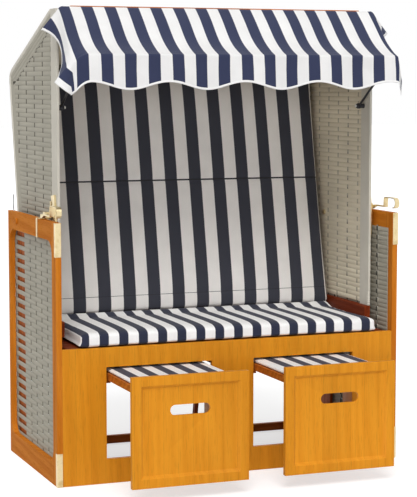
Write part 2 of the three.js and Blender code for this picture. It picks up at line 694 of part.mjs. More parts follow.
// Footrests: a framed front with a hand slot, a frame on two side rails, a top board and
// a striped pad. Each is drawn pulled out, as it is used.
function footrestFront() {
  const { half, low, high, border, recess, slope } = FOOTREST_FRONT;
  const outline = rectangle(-half, half, low, high);
  outline.holes.push(roundedRectangle(-64.5, 64.5, 260, 292, 15.9, THREE.Path));
  const board = alongY(outline, -FOOTREST_OUT, -FOOTREST_OUT + BOARD, 6);
  const field = taperedBlock(-half + border, half - border, -FOOTREST_OUT,
    -FOOTREST_OUT + recess, low + border, high - border, slope);
  return cut(board, field);
}

const railFront = -FOOTREST_OUT + BOARD + GAP;
const railBack = railFront + FOOTREST_LENGTH - BOARD;

function footrestFrame() {
  const { outer, width, low, high } = RAIL;
  const pieces = [];
  for (const side of [-1, 1]) {
    const from = side < 0 ? -outer : outer - width;
    pieces.push(box(from, from + width, railFront, railBack, low, high));
    const shoeFrom = side < 0 ? -outer - SHOE.reach : outer - width;
    pieces.push(box(shoeFrom, shoeFrom + width + SHOE.reach, railBack - SHOE.length, railBack,
      SHOE.low, SHOE.high));
    pieces.push(box(from, from + width, railBack - SHOE.length, railBack, SHOE.low, high));
  }
  for (const y of [railFront, railFront + 190, railBack - 24]) {
    pieces.push(box(-outer + 2, outer - 2, y, y + 24, low + 1, high - 1));
  }
  return join(...pieces);
}

function addFootrest(place, centre) {
  const footrest = new THREE.Group();
  footrest.position.x = centre;
  chair.add(footrest);
  const boardLowZ = RAIL.high + GAP;
  const padLow = boardLowZ + 6 + GAP;
  add(footrest, `footrest_front_${place}`, footrestFront(), 'frontWood');
  add(footrest, `footrest_frame_${place}`, footrestFrame(), 'sideWood');
  add(footrest, `footrest_board_${place}`, box(
    -RAIL.outer, RAIL.outer, railFront, railBack, boardLowZ, boardLowZ + 6), 'sideWood');
  add(footrest, `footrest_pad_${place}`, cushion({
    half: RAIL.outer - 1, y0: railFront + 1, y1: railBack - 2, z0: padLow, z1: PAD_TOP - 1.5,
    round: 6.5, crown: 1.5, drawIn: 1.5, cells: [10, 10, 4],
  }), 'cloth');
}

addFootrest('left', -FOOTREST_X);
addFootrest('right', FOOTREST_X);

// The origin is on the floor, in the middle of the whole chair's outline.
const outline = new THREE.Box3().setFromObject(chair);
chair.position.y = -(outline.min.y + outline.max.y) / 2;
chair.updateMatrixWorld(true);

export default chair;
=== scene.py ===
import json
import math
import random

import bmesh
import bpy
from mathutils import Matrix, Vector
from mathutils.bvhtree import BVHTree

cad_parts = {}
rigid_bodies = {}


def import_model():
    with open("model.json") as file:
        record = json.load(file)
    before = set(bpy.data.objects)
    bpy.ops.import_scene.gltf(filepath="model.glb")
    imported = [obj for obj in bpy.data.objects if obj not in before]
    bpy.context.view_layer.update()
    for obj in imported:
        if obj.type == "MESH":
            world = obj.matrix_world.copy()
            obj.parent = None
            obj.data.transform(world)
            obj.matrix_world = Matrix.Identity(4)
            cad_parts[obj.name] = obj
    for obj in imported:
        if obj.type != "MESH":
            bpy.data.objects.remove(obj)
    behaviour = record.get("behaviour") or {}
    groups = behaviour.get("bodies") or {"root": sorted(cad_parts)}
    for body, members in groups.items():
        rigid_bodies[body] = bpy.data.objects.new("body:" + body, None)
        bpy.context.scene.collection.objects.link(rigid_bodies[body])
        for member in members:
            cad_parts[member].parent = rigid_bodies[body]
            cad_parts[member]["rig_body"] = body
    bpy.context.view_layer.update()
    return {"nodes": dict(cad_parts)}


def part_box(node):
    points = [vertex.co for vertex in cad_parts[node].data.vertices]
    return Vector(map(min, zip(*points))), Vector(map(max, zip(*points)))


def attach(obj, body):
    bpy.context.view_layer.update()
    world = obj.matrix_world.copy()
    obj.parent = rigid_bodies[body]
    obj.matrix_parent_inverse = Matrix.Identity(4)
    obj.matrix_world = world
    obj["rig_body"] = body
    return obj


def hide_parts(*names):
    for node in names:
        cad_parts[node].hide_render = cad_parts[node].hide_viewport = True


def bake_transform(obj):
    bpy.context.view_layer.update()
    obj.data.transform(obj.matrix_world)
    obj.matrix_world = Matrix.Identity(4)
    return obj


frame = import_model()
cad_nodes = frame["nodes"]

# CAMERA
# The photographer stands off to the left of the chair's front, a little below the top of
# the hood, with a long lens that looks slightly down.


def set_out(name, data):
    """A new object in the scene."""
    made = bpy.data.objects.new(name, data)
    bpy.context.scene.collection.objects.link(made)
    return made


camera = set_out("camera", bpy.data.cameras.new("camera"))
bpy.context.scene.camera = camera
turn = math.radians(-21.226)
tilt = math.radians(5.634)
looking = Vector((
    -math.sin(turn) * math.cos(tilt), math.cos(turn) * math.cos(tilt), -math.sin(tilt),
))
camera.location = (-2.0092, -5.165, 1.2573)
camera.rotation_euler = looking.to_track_quat("-Z", "Y").to_euler()
camera.data.lens = 121.38

# STUDIO
# A pale floor in a white surround, under an even sky, a broad lamp above the front and a
# low one that reaches under the canopy. The floor keeps the chair's soft shadow.


def feed(tree, node, inputs):
    """Gives a node its inputs: values, or other nodes' outputs."""
    for socket, value in inputs.items():
        if isinstance(value, bpy.types.NodeSocket):
            tree.links.new(value, node.inputs[socket])
        else:
            node.inputs[socket].default_value = value


def put(tree, kind, inputs=None, **settings):
    """Adds a node with its settings, then its inputs."""
    made = tree.nodes.new(kind)
    for name, value in settings.items():
        setattr(made, name, value)
    feed(tree, made, inputs or {})
    return made


def mix(tree, factor, first, second):
    """A mix of two colours, as an output."""
    return put(tree, "ShaderNodeMix", {0: factor, 6: first, 7: second},
               data_type="RGBA").outputs[2]


def maths(tree, a, b, operation="MULTIPLY"):
    """Two numbers worked together, as an output."""
    return put(tree, "ShaderNodeMath", {0: a, 1: b}, operation=operation).outputs[0]


def between(tree, value, low, high, to_low=0.0, to_high=1.0):
    """A number carried from one span to another and held at its ends."""
    return put(tree, "ShaderNodeMapRange", {
        "Value": value, "From Min": low, "From Max": high, "To Min": to_low, "To Max": to_high,
    }).outputs["Result"]


def new_material(name):
    """A new material, its node tree and its main shader."""
    finish = bpy.data.materials.new(name)
    finish.use_nodes = True
    return finish, finish.node_tree, finish.node_tree.nodes["Principled BSDF"]


def seen_directly(tree):
    """1 where the camera, a reflection or a clear material sees it, and 0 for its light."""
    path = put(tree, "ShaderNodeLightPath").outputs
    either = maths(tree, path["Is Camera Ray"], path["Is Glossy Ray"], "MAXIMUM")
    return maths(tree, either, path["Is Transmission Ray"], "MAXIMUM")


bpy.context.scene.view_settings.view_transform = "Standard"
world = bpy.data.worlds.new("studio_sky")
bpy.context.scene.world = world
world.use_nodes = True
sky = world.node_tree
feed(sky, sky.nodes["Background"], {
    "Color": (1, 1, 1, 1), "Strength": between(sky, seen_directly(sky), 0.0, 1.0, 0.5, 1.0),
})

for name, energy, angle, way in (
        ("high_lamp", 1.65, 30, (0.2, 0.6, -0.77)), ("low_lamp", 1.75, 36, (0.5, 0.85, 0.14))):
    lamp = set_out(name, bpy.data.lights.new(name, "SUN"))
    lamp.data.energy = energy
    lamp.data.angle = math.radians(angle)
    lamp.rotation_euler = Vector(way).to_track_quat("-Z", "Y").to_euler()

floor_half = 40
floor_level = -0.0006
floor_mesh = bpy.data.meshes.new("studio_floor")
floor_mesh.from_pydata([
    (x * floor_half, y * floor_half, floor_level) for x, y in ((-1, -1), (1, -1), (1, 1), (-1, 1))
], [], [(0, 1, 2, 3)])
floor = set_out("studio_floor", floor_mesh)
floor_finish, ground, ground_shader = new_material("studio_floor")
feed(ground, ground_shader, {"Base Color": (0.6, 0.6, 0.6, 1), "Roughness": 0.9})
ground_glow = put(ground, "ShaderNodeEmission", {
    "Strength": maths(ground, seen_directly(ground), 0.6),
})
ground_both = put(ground, "ShaderNodeAddShader", {
    0: ground_shader.outputs[0], 1: ground_glow.outputs[0],
})
ground.links.new(ground_both.outputs[0], ground.nodes["Material Output"].inputs["Surface"])
floor_mesh.materials.append(floor_finish)

# SIDE FRAMES
# Each side of the base is a hardwood frame: two upright stiles with a top and a bottom
# rail between them, glued flush, sanded round the window and finished with clear oil.


def paint(red, green, blue):
    """A colour as on a paint chart, each part from 0 to 255, made ready for a shader."""
    parts = [value / 255 for value in (red, green, blue)]
    even = [v / 12.92 if v <= 0.04045 else ((v + 0.055) / 1.055) ** 2.4 for v in parts]
    return (*even, 1.0)


def shader_group(name, inputs, outputs):
    """An empty node group, and what it is given and has to make."""
    group = bpy.data.node_groups.new(name, "ShaderNodeTree")
    kinds = {3: "NodeSocketVector", 4: "NodeSocketColor"}
    for title, value in inputs.items():
        kind = kinds[len(value)] if isinstance(value, tuple) else "NodeSocketFloat"
        made = group.interface.new_socket(title, in_out="INPUT", socket_type=kind)
        made.default_value = value
    for title, kind in outputs.items():
        group.interface.new_socket(title, in_out="OUTPUT", socket_type="NodeSocket" + kind)
    given = group.nodes.new("NodeGroupInput").outputs
    return group, given, group.nodes.new("NodeGroupOutput")


def emboss(tree, shader, strength, distance, height):
    """Raises the surface where the height is high."""
    feed(tree, shader, {"Normal": put(tree, "ShaderNodeBump", {
        "Strength": strength, "Distance": distance, "Height": height,
    }).outputs["Normal"]})


def object_place(tree):
    """The object's own coordinates."""
    return put(tree, "ShaderNodeTexCoord").outputs["Object"]


def noise(tree, place, scale, detail, roughness=0.5, distortion=0.0):
    """Soft uneven patches, from 0 to 1."""
    return put(tree, "ShaderNodeTexNoise", {
        "Vector": place, "Scale": scale, "Detail": detail, "Roughness": roughness,
        "Distortion": distortion,
    }).outputs["Fac"]


def marked(tree, name):
    """A number that the mesh carries at each of its points."""
    return put(tree, "ShaderNodeAttribute", attribute_name=name).outputs["Fac"]


def channel(tree, vector, axis):
    """How far a vector goes along X, Y or Z."""
    return put(tree, "ShaderNodeSeparateXYZ", {0: vector}).outputs[axis]


def scaled(tree, vector, factor):
    """A colour or a direction, times a number."""
    return put(tree, "ShaderNodeVectorMath", {0: vector, "Scale": factor},
               operation="SCALE").outputs[0]


def make_timber_grain():
    """Long figure, growth lines and open pores. The grain runs along the place's Z."""
    group, given, made = shader_group("timber grain", {
        "Place": (0, 0, 0), "Light": (1, 1, 1, 1), "Dark": (0, 0, 0, 1), "Gloss": 0.4,
    }, {"Color": "Color", "Roughness": "Float", "Height": "Float"})
    long = put(group, "ShaderNodeVectorMath", {0: given["Place"], 1: (1, 1, 0.06)},
               operation="MULTIPLY").outputs[0]
    figure = noise(group, long, 34.0, 6.0, 0.6, 0.7)
    growth = put(group, "ShaderNodeTexWave", {
        "Vector": long, "Scale": 16.0, "Distortion": 7.0, "Detail": 3.0, "Detail Scale": 1.4,
    }, bands_direction="DIAGONAL").outputs["Fac"]
    pores = noise(group, long, 420.0, 2.0)
    board = noise(group, given["Place"], 3.2, 1.0)
    open_pores = between(group, pores, 0.56, 0.68)
    lines = maths(group, maths(group, figure, 0.7), maths(group, growth, 0.3), "ADD")
    share = between(group, lines, 0.3, 0.66)
    colour = mix(group, share, given["Dark"], given["Light"])
    tone = between(group, board, 0.3, 0.7, 0.95, 1.04)
    shade = maths(group, tone, maths(group, 1.0, maths(group, open_pores, 0.14), "SUBTRACT"))
    toned = scaled(group, colour, shade)
    rough = maths(group, maths(group, open_pores, 0.22), maths(group, share, -0.06), "ADD")
    feed(group, made, {
        "Color": toned, "Roughness": maths(group, rough, given["Gloss"], "ADD"),
        "Height": maths(group, maths(group, share, 0.4), open_pores, "SUBTRACT"),
    })
    return group


def make_edge_wear():
    """A mask for rubbed edges: strong at a corner, broken up by a fine uneven pattern."""
    group, given, made = shader_group("edge wear", {
        "Reach": 0.002, "Patches": 60.0,
    }, {"Wear": "Float"})
    rounded = put(group, "ShaderNodeBevel", {"Radius": given["Reach"]}, samples=4)
    flat = put(group, "ShaderNodeNewGeometry")
    alike = put(group, "ShaderNodeVectorMath", {
        0: rounded.outputs["Normal"], 1: flat.outputs["True Normal"],
    }, operation="DOT_PRODUCT").outputs["Value"]
    patches = noise(group, object_place(group), given["Patches"], 3.0)
    edge = between(group, alike, 0.995, 0.9)
    feed(group, made, {"Wear": maths(group, edge, between(group, patches, 0.35, 0.65))})
    return group


timber_grain = make_timber_grain()
edge_wear = make_edge_wear()


def grain_place(tree, along):
    """The object's own coordinates, turned so that the grain lies along X, Y or Z."""
    turned = {"X": (0, math.pi / 2, 0), "Y": (math.pi / 2, 0, 0), "Z": (0, 0, 0)}[along]
    place = object_place(tree)
    mapped = put(tree, "ShaderNodeMapping", {"Vector": place, "Rotation": turned})
    return mapped.outputs["Vector"]


def timber(name, light, dark, along="Z", gloss=0.42, place=None, shine=0.12):
    """Oiled hardwood, and the parts of its material that a section may add to."""
    finish, tree, shader = new_material(name)
    grain = put(tree, "ShaderNodeGroup", {
        "Place": place(tree) if place else grain_place(tree, along),
        "Light": light, "Dark": dark, "Gloss": gloss,
    }, node_tree=timber_grain).outputs
    wear = put(tree, "ShaderNodeGroup", node_tree=edge_wear).outputs["Wear"]
    worn = [min(1.0, part * 1.25) for part in light[:3]]
    colour = mix(tree, maths(tree, wear, 0.4), grain["Color"], (*worn, 1))
    emboss(tree, shader, 0.35, 0.00025, grain["Height"])
    feed(tree, shader, {
        "Base Color": colour, "Roughness": grain["Roughness"], "Specular IOR Level": shine,
    })
    return {"material": finish, "tree": tree, "shader": shader, "colour": colour}


def mesh_of(name, work, finish=None, sharp=None):
    """The worked shape as a mesh, in its finish and smooth up to the sharp angle."""
    mesh = bpy.data.meshes.new(name)
    work.to_mesh(mesh)
    work.free()
    if finish:
        mesh.materials.append(finish)
        mesh.shade_smooth()
    if sharp:
        mesh.set_sharp_from_angle(angle=math.radians(sharp))
    return mesh


def planed(node, easing, finish, corner=35, split=False):
    """A CAD piece with its triangles joined up and its edges eased, in its own place."""
    source = cad_nodes[node]
    work = bmesh.new()
    work.from_mesh(source.data)
    bmesh.ops.remove_doubles(work, verts=work.verts, dist=0.00002)
    bmesh.ops.dissolve_limit(work, angle_limit=math.radians(0.6), verts=work.verts,
                             edges=work.edges)
    if split:
        bmesh.ops.connect_verts_concave(work, faces=work.faces[:])
    corners = [edge for edge in work.edges
               if edge.is_manifold and edge.calc_face_angle(0) > math.radians(corner)]
    bmesh.ops.bevel(work, geom=corners, offset=easing, segments=2, profile=0.5,
                    affect="EDGES", clamp_overlap=True)
    piece = set_out("planed_" + node, mesh_of("planed_" + node, work, finish, 20))
    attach(piece, source["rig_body"])
    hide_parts(node)
    return piece


sides = (("left", -1), ("right", 1))
base_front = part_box("front_panel")[0].y
window_low = 0.070
window_high = 0.769
window_front = base_front + 0.045
window_back = base_front + 0.558


def frame_place(tree):
    """Grain up the stiles and along the rails, which meet at the window's corners."""
    place = object_place(tree)
    y, z = channel(tree, place, "Y"), channel(tree, place, "Z")
    in_rail = maths(tree, maths(tree, z, window_high, "GREATER_THAN"),
                    maths(tree, z, window_low, "LESS_THAN"), "MAXIMUM")
    past_stile = maths(tree, maths(tree, y, window_front, "GREATER_THAN"),
                       maths(tree, y, window_back, "LESS_THAN"))
    return put(tree, "ShaderNodeMix", {
        0: maths(tree, in_rail, past_stile), 4: grain_place(tree, "Z"),
        5: grain_place(tree, "Y"),
    }, data_type="VECTOR").outputs[1]


side_timber = timber("oiled side timber", paint(210, 128, 40), paint(196, 112, 30),
                     gloss=0.6, place=frame_place, shine=0.03)
side_tree = side_timber["tree"]
side_place = object_place(side_tree)
joint_half = 0.0005


def off(axis, middle):
    """How far the place lies from the middle, either way along the axis."""
    way = maths(side_tree, channel(side_tree, side_place, axis), middle, "SUBTRACT")
    return maths(side_tree, way, 0.0, "ABSOLUTE")


seams = [maths(side_tree, off("Y", seam), joint_half, "LESS_THAN")
         for seam in (window_front, window_back)]
off_window = maths(side_tree, off("Z", (window_low + window_high) / 2),
                   (window_high - window_low) / 2, "GREATER_THAN")
joint_line = maths(side_tree, maths(side_tree, seams[0], seams[1], "MAXIMUM"), off_window)
jointed = mix(side_tree, maths(side_tree, joint_line, 0.7), side_timber["colour"],
              paint(70, 34, 12))
feed(side_tree, side_timber["shader"], {"Base Color": jointed})
for side in ("left", "right"):
    planed("side_frame_" + side, 0.0022, side_timber["material"])

# SIDE WEAVE
# Flat strands of grey-brown cane laid close, each passing in front of one upright stake
# and behind the next. Along the rear only every second strand runs on to the frame. The
# stakes are painted dark, as painted shade where the strands pass behind them, and are
# faced with pale cane on the inside.


def growing_tree(name, start, numbers):
    """A geometry node tree that grows pieces from a mesh, and what it is given."""
    tree = bpy.data.node_groups.new(name, "GeometryNodeTree")
    inputs = [(start, "Geometry"), *((title, "Float") for title in numbers),
              ("Finish", "Material")]
    for title, kind in inputs:
        tree.interface.new_socket(title, in_out="INPUT", socket_type="NodeSocket" + kind)
    tree.interface.new_socket("Grown", in_out="OUTPUT", socket_type="NodeSocketGeometry")
    return tree, tree.nodes.new("NodeGroupInput").outputs


def grow(tree, kind, inputs=None, **settings):
    """The first output of a new geometry node."""
    return put(tree, "GeometryNode" + kind, inputs, **settings).outputs[0]


def finish_tree(tree, given, pieces):
    """Makes the pieces one plain mesh in the given finish."""
    whole = grow(tree, "RealizeInstances", {0: pieces})
    finished = grow(tree, "SetMaterial", {"Geometry": whole, "Material": given["Finish"]})
    tree.links.new(finished, tree.nodes.new("NodeGroupOutput").inputs[0])
    return tree


def make_weaver():
    """Turns middle lines into flat strands that dip where they pass behind a stake."""
    tree, given = growing_tree("cane strands", "Lines", ("Width", "Thickness", "Dip"))

    def attribute(name, kind):
        found = put(tree, "GeometryNodeInputNamedAttribute", {"Name": name}, data_type=kind)
        return next(output for output in found.outputs if output.enabled)

    outward = attribute("outward", "FLOAT_VECTOR")
    hollow = attribute("hollow", "FLOAT")
    depth = maths(tree, maths(tree, hollow, given["Dip"]), -1.0)
    offset = scaled(tree, outward, depth)
    curves = grow(tree, "MeshToCurve", {0: given["Lines"]})
    dipped = grow(tree, "SetPosition", {"Geometry": curves, "Offset": offset})
    faced = grow(tree, "SetCurveNormal", {"Curve": dipped, "Normal": outward}, mode="FREE")
    flat = grow(tree, "CurvePrimitiveQuadrilateral", {
        "Width": given["Thickness"], "Height": given["Width"],
    })
    rounding = maths(tree, given["Thickness"], 0.3)
    section = grow(tree, "FilletCurve", {"Curve": flat, "Count": 1, "Radius": rounding},
                   mode="POLY")
    height = channel(tree, grow(tree, "InputPosition"), "Y")
    profile = grow(tree, "StoreNamedAttribute", {
        "Geometry": section, "Name": "off_middle",
        "Value": maths(tree, height, given["Width"], "DIVIDE"),
    }, data_type="FLOAT", domain="POINT")
    strands = grow(tree, "CurveToMesh", {
        "Curve": faced, "Profile Curve": profile, "Fill Caps": True,
    })
    smooth = grow(tree, "SetShadeSmooth", {"Geometry": strands})
    return finish_tree(tree, given, smooth)


def plain_mesh(carrier, name):
    """What an object has become, as a mesh, without the object."""
    graph = bpy.context.evaluated_depsgraph_get()
    mesh = bpy.data.meshes.new_from_object(carrier.evaluated_get(graph))
    bpy.data.objects.remove(carrier)
    mesh.name = name
    return mesh


def grown(name, mesh, tree, values):
    """What a node tree grows from a mesh, kept as a plain mesh object."""
    carrier = set_out(name + "_lines", mesh)
    modifier = carrier.modifiers.new("grown", "NODES")
    modifier.node_group = tree
    for item in tree.interface.items_tree:
        if item.in_out == "INPUT" and item.name in values:
            modifier[item.identifier] = values[item.name]
    return set_out(name, plain_mesh(carrier, name))


def strand_lines(name, strands):
    """The strands' middle lines in one mesh, with what the weaver reads at each point."""
    mesh = bpy.data.meshes.new(name)
    places, edges, outward, hollow, tone, lit = [], [], [], [], [], []
    for points, shade in strands:
        start = len(places)
        for place, out, depth in points:
            places.append(place)
            outward.extend(out)
            hollow.append(depth)
            tone.append(shade)
            # Spans that pass in front of a stake are marked for the cane's painted pale edge.
            lit.append(1.0 if depth < 0 else 0.0)
        edges.extend((i, i + 1) for i in range(start, len(places) - 1))
    mesh.from_pydata(places, edges, [])
    mesh.attributes.new("outward", "FLOAT_VECTOR", "POINT").data.foreach_set("vector", outward)
    for title, values in (("hollow", hollow), ("tone", tone), ("lit", lit)):
        mesh.attributes.new(title, "FLOAT", "POINT").data.foreach_set("value", values)
    return mesh


# Past a stake: millimetres from it, and how deep the strand dips, or stands out if below 0.
passing_behind = ((-10, 0), (-6.4, 0.1), (-4, 0.8), (0, 1), (4, 0.8), (6.4, 0.1), (10, 0))
passing_before = ((-34, 0), (-27, -0.12), (27, -0.12), (34, 0))
end_room = 0.004


def strand(start, end, out, stakes, behind_first):
    """One strand from start to end, past stakes at given distances from the start."""
    run = end - start
    along = run.normalized()
    points = [(start, out, 0.0)]
    for i, stake in enumerate(stakes):
        if not end_room < stake < run.length - end_room:
            continue
        behind = (i % 2 == 0) == behind_first
        for offset, depth in passing_behind if behind else passing_before:
            reached = stake + offset / 1000
            if 0 < reached < run.length:
                points.append((start + along * reached, out, depth))
    points.append((end, out, 0.0))
    return points


def make_cane_surface():
    """Cane with long fibres, a shade of its own for each strand, and painted shade in the hollows
    where it dips behind a stake.

    A strand's edges are painted a little darker, as shade between the bands, and where light would
    show through from behind, one edge is painted pale as a painted highlight.
    """
    group, given, made = shader_group("cane surface", {
        "Stretch": (1, 1, 1), "Light": (1, 1, 1, 1), "Dark": (0, 0, 0, 1), "Painted gleam": 0.0,
        "Hollow shade": 0.3,
    }, {"Color": "Color", "Roughness": "Float", "Height": "Float"})
    place = object_place(group)
    drawn = put(group, "ShaderNodeVectorMath", {0: place, 1: given["Stretch"]},
                operation="MULTIPLY").outputs[0]
    fibres = noise(group, drawn, 900.0, 3.0, 0.6)
    patches = noise(group, place, 9.0, 2.0)
    tone = marked(group, "tone")
    hollow = marked(group, "hollow")
    across = marked(group, "off_middle")
    lit = marked(group, "lit")
    share = maths(group, maths(group, between(group, fibres, 0.3, 0.7), 0.5),
                  maths(group, tone, 0.5), "ADD")
    colour = mix(group, share, given["Dark"], given["Light"])
    # Painted shade: the colour darkens where the strand dips behind a stake.
    deep = between(group, hollow, 0.2, 0.7, 1.0, given["Hollow shade"])
    # Painted shade: a strand's edges are a little darker, as in the gaps between the bands.
    edge = between(group, maths(group, across, 0.0, "ABSOLUTE"), 0.42, 0.47, 1.0, 0.96)
    shade = maths(group, maths(group, deep, edge),
                  between(group, patches, 0.3, 0.7, 0.94, 1.05))
    toned = scaled(group, colour, shade)
    # Painted highlight: a pale upper edge on spans in front of a stake, standing in for light
    # through the gaps.
    upper = between(group, across, 0.3, 0.34)
    painted_gleam = maths(group, maths(group, upper, lit), given["Painted gleam"])
    feed(group, made, {
        "Color": mix(group, painted_gleam, toned, paint(226, 216, 190)),
        "Roughness": between(group, fibres, 0.3, 0.7, 0.5, 0.72), "Height": fibres,
    })
    return group


cane_surface = make_cane_surface()


# hollow_shade is how dark the painted shade in a strand's hollows gets.
def cane(name, light, dark, stretch=(0.03, 0.03, 1), painted_gleam=0.0, hollow_shade=0.1):
    """Smooth weatherproof cane, its fibres along the strand."""
    finish, tree, shader = new_material(name)
    surface = put(tree, "ShaderNodeGroup", {
        "Stretch": stretch, "Light": light, "Dark": dark, "Painted gleam": painted_gleam,
        "Hollow shade": hollow_shade,
    }, node_tree=cane_surface).outputs
    emboss(tree, shader, 0.3, 0.00015, surface["Height"])
    feed(tree, shader, {
        "Base Color": surface["Color"], "Roughness": surface["Roughness"],
        "Specular IOR Level": 0.3,
    })
    return finish


weaver = make_weaver()


def woven(name, strands, width, thick, dip, finish):
    """Flat strands of cane of one size, in one piece."""
    return grown(name, strand_lines(name, strands), weaver, {
        "Width": width, "Thickness": thick, "Dip": dip, "Finish": finish,
    })


cane_outer = cane("grey cane", paint(178, 173, 158), paint(164, 159, 144))
# The uprights' dark colour is painted shade, for the shade where strands pass behind a stake.
cane_upright = cane("grey cane upright", paint(96, 94, 86), paint(70, 68, 62), (1, 1, 0.03))
cane_tones = random.Random(7)

row_pitch = 0.0152
cane_width = 0.01515
cane_thick = 0.0022
cane_dip = 0.0045
weave_low = 0.055
weave_high = 0.781
weave_face = 0.5695
stake_face = 0.5669
facing_face = 0.5654
comb_front = base_front + 0.441
weave_front = base_front + 0.028
weave_back = base_front + 0.573
side_stakes = [base_front + 0.101 + 0.068 * i for i in range(6)]


def side_weave(side, sign):
    """The woven filling of one side, and the stakes that it is woven round."""
    name = "cane_side_" + side
    out = Vector((sign, 0, 0))
    surface = sign * weave_face
    rows = round((window_high - window_low) / row_pitch)
    pitch = (window_high - window_low) / rows
    strands = []
    for row in range(-1, rows + 2):
        z = window_low + pitch * row
        if not weave_low <= z <= weave_high:
            continue
        runs_on = row % 2 == 0
        end = weave_back if runs_on else comb_front
        points = strand(Vector((surface, weave_front, z)), Vector((surface, end, z)), out,
                        [stake - weave_front for stake in side_stakes], runs_on)
        strands.append((points, cane_tones.random()))
    weave = woven(name, strands, cane_width, cane_thick, cane_dip, cane_outer)

    def uprights(part, places, far, width, thick, finish):
        lines = []
        for place in places:
            ends = [Vector((sign * far, place, z)) for z in (weave_low, weave_high)]
            lines.append(([(end, out, 0.0) for end in ends], 0.3))
        return woven(name + part, lines, width, thick, 0.0, finish)

    stakes = uprights("_stakes", side_stakes, stake_face, 0.0055, 0.0026, cane_upright)
    facings = uprights("_facings", side_stakes, facing_face, 0.0064, 0.0008, cane_outer)
    closing = uprights("_closing", [weave_back - 0.011], stake_face, 0.022, 0.0026, cane_outer)
    for piece in (weave, stakes, facings, closing):
        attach(piece, "base")
    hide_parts("side_weave_" + side)


for side, sign in sides:
    side_weave(side, sign)

# REAR STILES
# A wide upright board stands inside the rear edge of each side. It shows between the
# strands of the comb.
stile_timber = timber("stile timber", paint(190, 100, 40), paint(166, 82, 30), gloss=0.5)
for side in ("left", "right"):
    planed("rear_stile_" + side, 0.0015, stile_timber["material"])

# SEAT FRONT
# A full-width front of planed staves glued edge to edge, with one opening for each
# footrest and an upright batten behind each side of it, all finished with warm oil.


def add_staves(wood, across, pitch, level):
    """Thin dark joint lines between upright staves, and a shade of its own for each."""
    tree = wood["tree"]
    stave = maths(tree, channel(tree, object_place(tree), across), pitch, "DIVIDE")
    within = maths(tree, stave, 1.0, "FLOORED_MODULO")
    edge = maths(tree, maths(tree, within, 0.5, "SUBTRACT"), 0.0, "ABSOLUTE")
    line = between(tree, edge, 0.485, 0.497)
    number = maths(tree, stave, 0.0, "FLOOR")
    own = put(tree, "ShaderNodeTexWhiteNoise", {"W": number}, noise_dimensions="1D")
    tone = between(tree, own.outputs["Value"], 0, 1, 1 - level, 1.04)
    shade = maths(tree, tone, maths(tree, 1.0, maths(tree, line, 0.22), "SUBTRACT"))
    toned = scaled(tree, wood["colour"], shade)
    feed(tree, wood["shader"], {"Base Color": toned})


front_timber = timber("oiled front timber", paint(226, 149, 36), paint(219, 140, 30), gloss=0.4)
add_staves(front_timber, "X", 0.048, 0.05)
planed("front_panel", 0.0018, front_timber["material"], split=True)

# INNER FRAME
# Rails, bearers, legs, runners and the seat board are plain sawn and planed timber,
# screwed together and stained darker than the show faces.
inner_light, inner_dark = paint(138, 58, 22), paint(110, 40, 13)
inner_along_x, inner_along_y, inner_upright = (
    timber("inner timber " + way, inner_light, inner_dark, axis, 0.55)["material"]
    for way, axis in (("across", "X"), ("deep", "Y"), ("upright", "Z")))
side_across = timber("side timber across", paint(198, 114, 40), paint(172, 92, 28), "X",
                     0.45)["material"]
planed("rear_bottom_rail", 0.0015, side_across)
for node in ("rear_top_rail", "seat_board"):
    planed(node, 0.0015, inner_along_x)
for side in ("left", "right"):
    planed("seat_bearer_" + side, 0.0012, inner_along_y)
    for hand in ("a", "b"):
        planed(f"seat_leg_{side}_{hand}", 0.0012, inner_upright)
        planed(f"runner_{side}_{hand}", 0.0008, inner_along_y)

# CORNER CAPS
# Thin brass plates guard the front corners of both sides, at the top and the bottom. Each
# is folded round the outer edge and held by small cross-slotted screws.


def metal(name, light, dark, roughness, brushed=(1, 1, 10), metallic=0.92):
    """Brushed metal: fine drawn lines, a little tarnish, and edges rubbed bright."""
    finish, tree, shader = new_material(name)
    place = object_place(tree)
    drawn = put(tree, "ShaderNodeVectorMath", {0: place, 1: brushed}, operation="MULTIPLY")
    lines = noise(tree, drawn.outputs[0], 300.0, 3.0)
    tarnish = noise(tree, place, 40.0, 3.0)
    wear = put(tree, "ShaderNodeGroup", {"Reach": 0.0008, "Patches": 200.0},
               node_tree=edge_wear).outputs["Wear"]
    colour = mix(tree, between(tree, tarnish, 0.3, 0.5), dark, light)
    bright = tuple(min(1.0, part * 1.25 + 0.03) for part in light[:3])
    rubbed = mix(tree, maths(tree, wear, 0.6), colour, (*bright, 1))
    rough = maths(tree, between(tree, lines, 0.3, 0.7, roughness - 0.06, roughness + 0.08),
                  between(tree, tarnish, 0.3, 0.7, 0.06, 0.0), "ADD")
    emboss(tree, shader, 0.12, 0.0002, lines)
    feed(tree, shader, {"Base Color": rubbed, "Roughness": rough, "Metallic": metallic})
    return finish


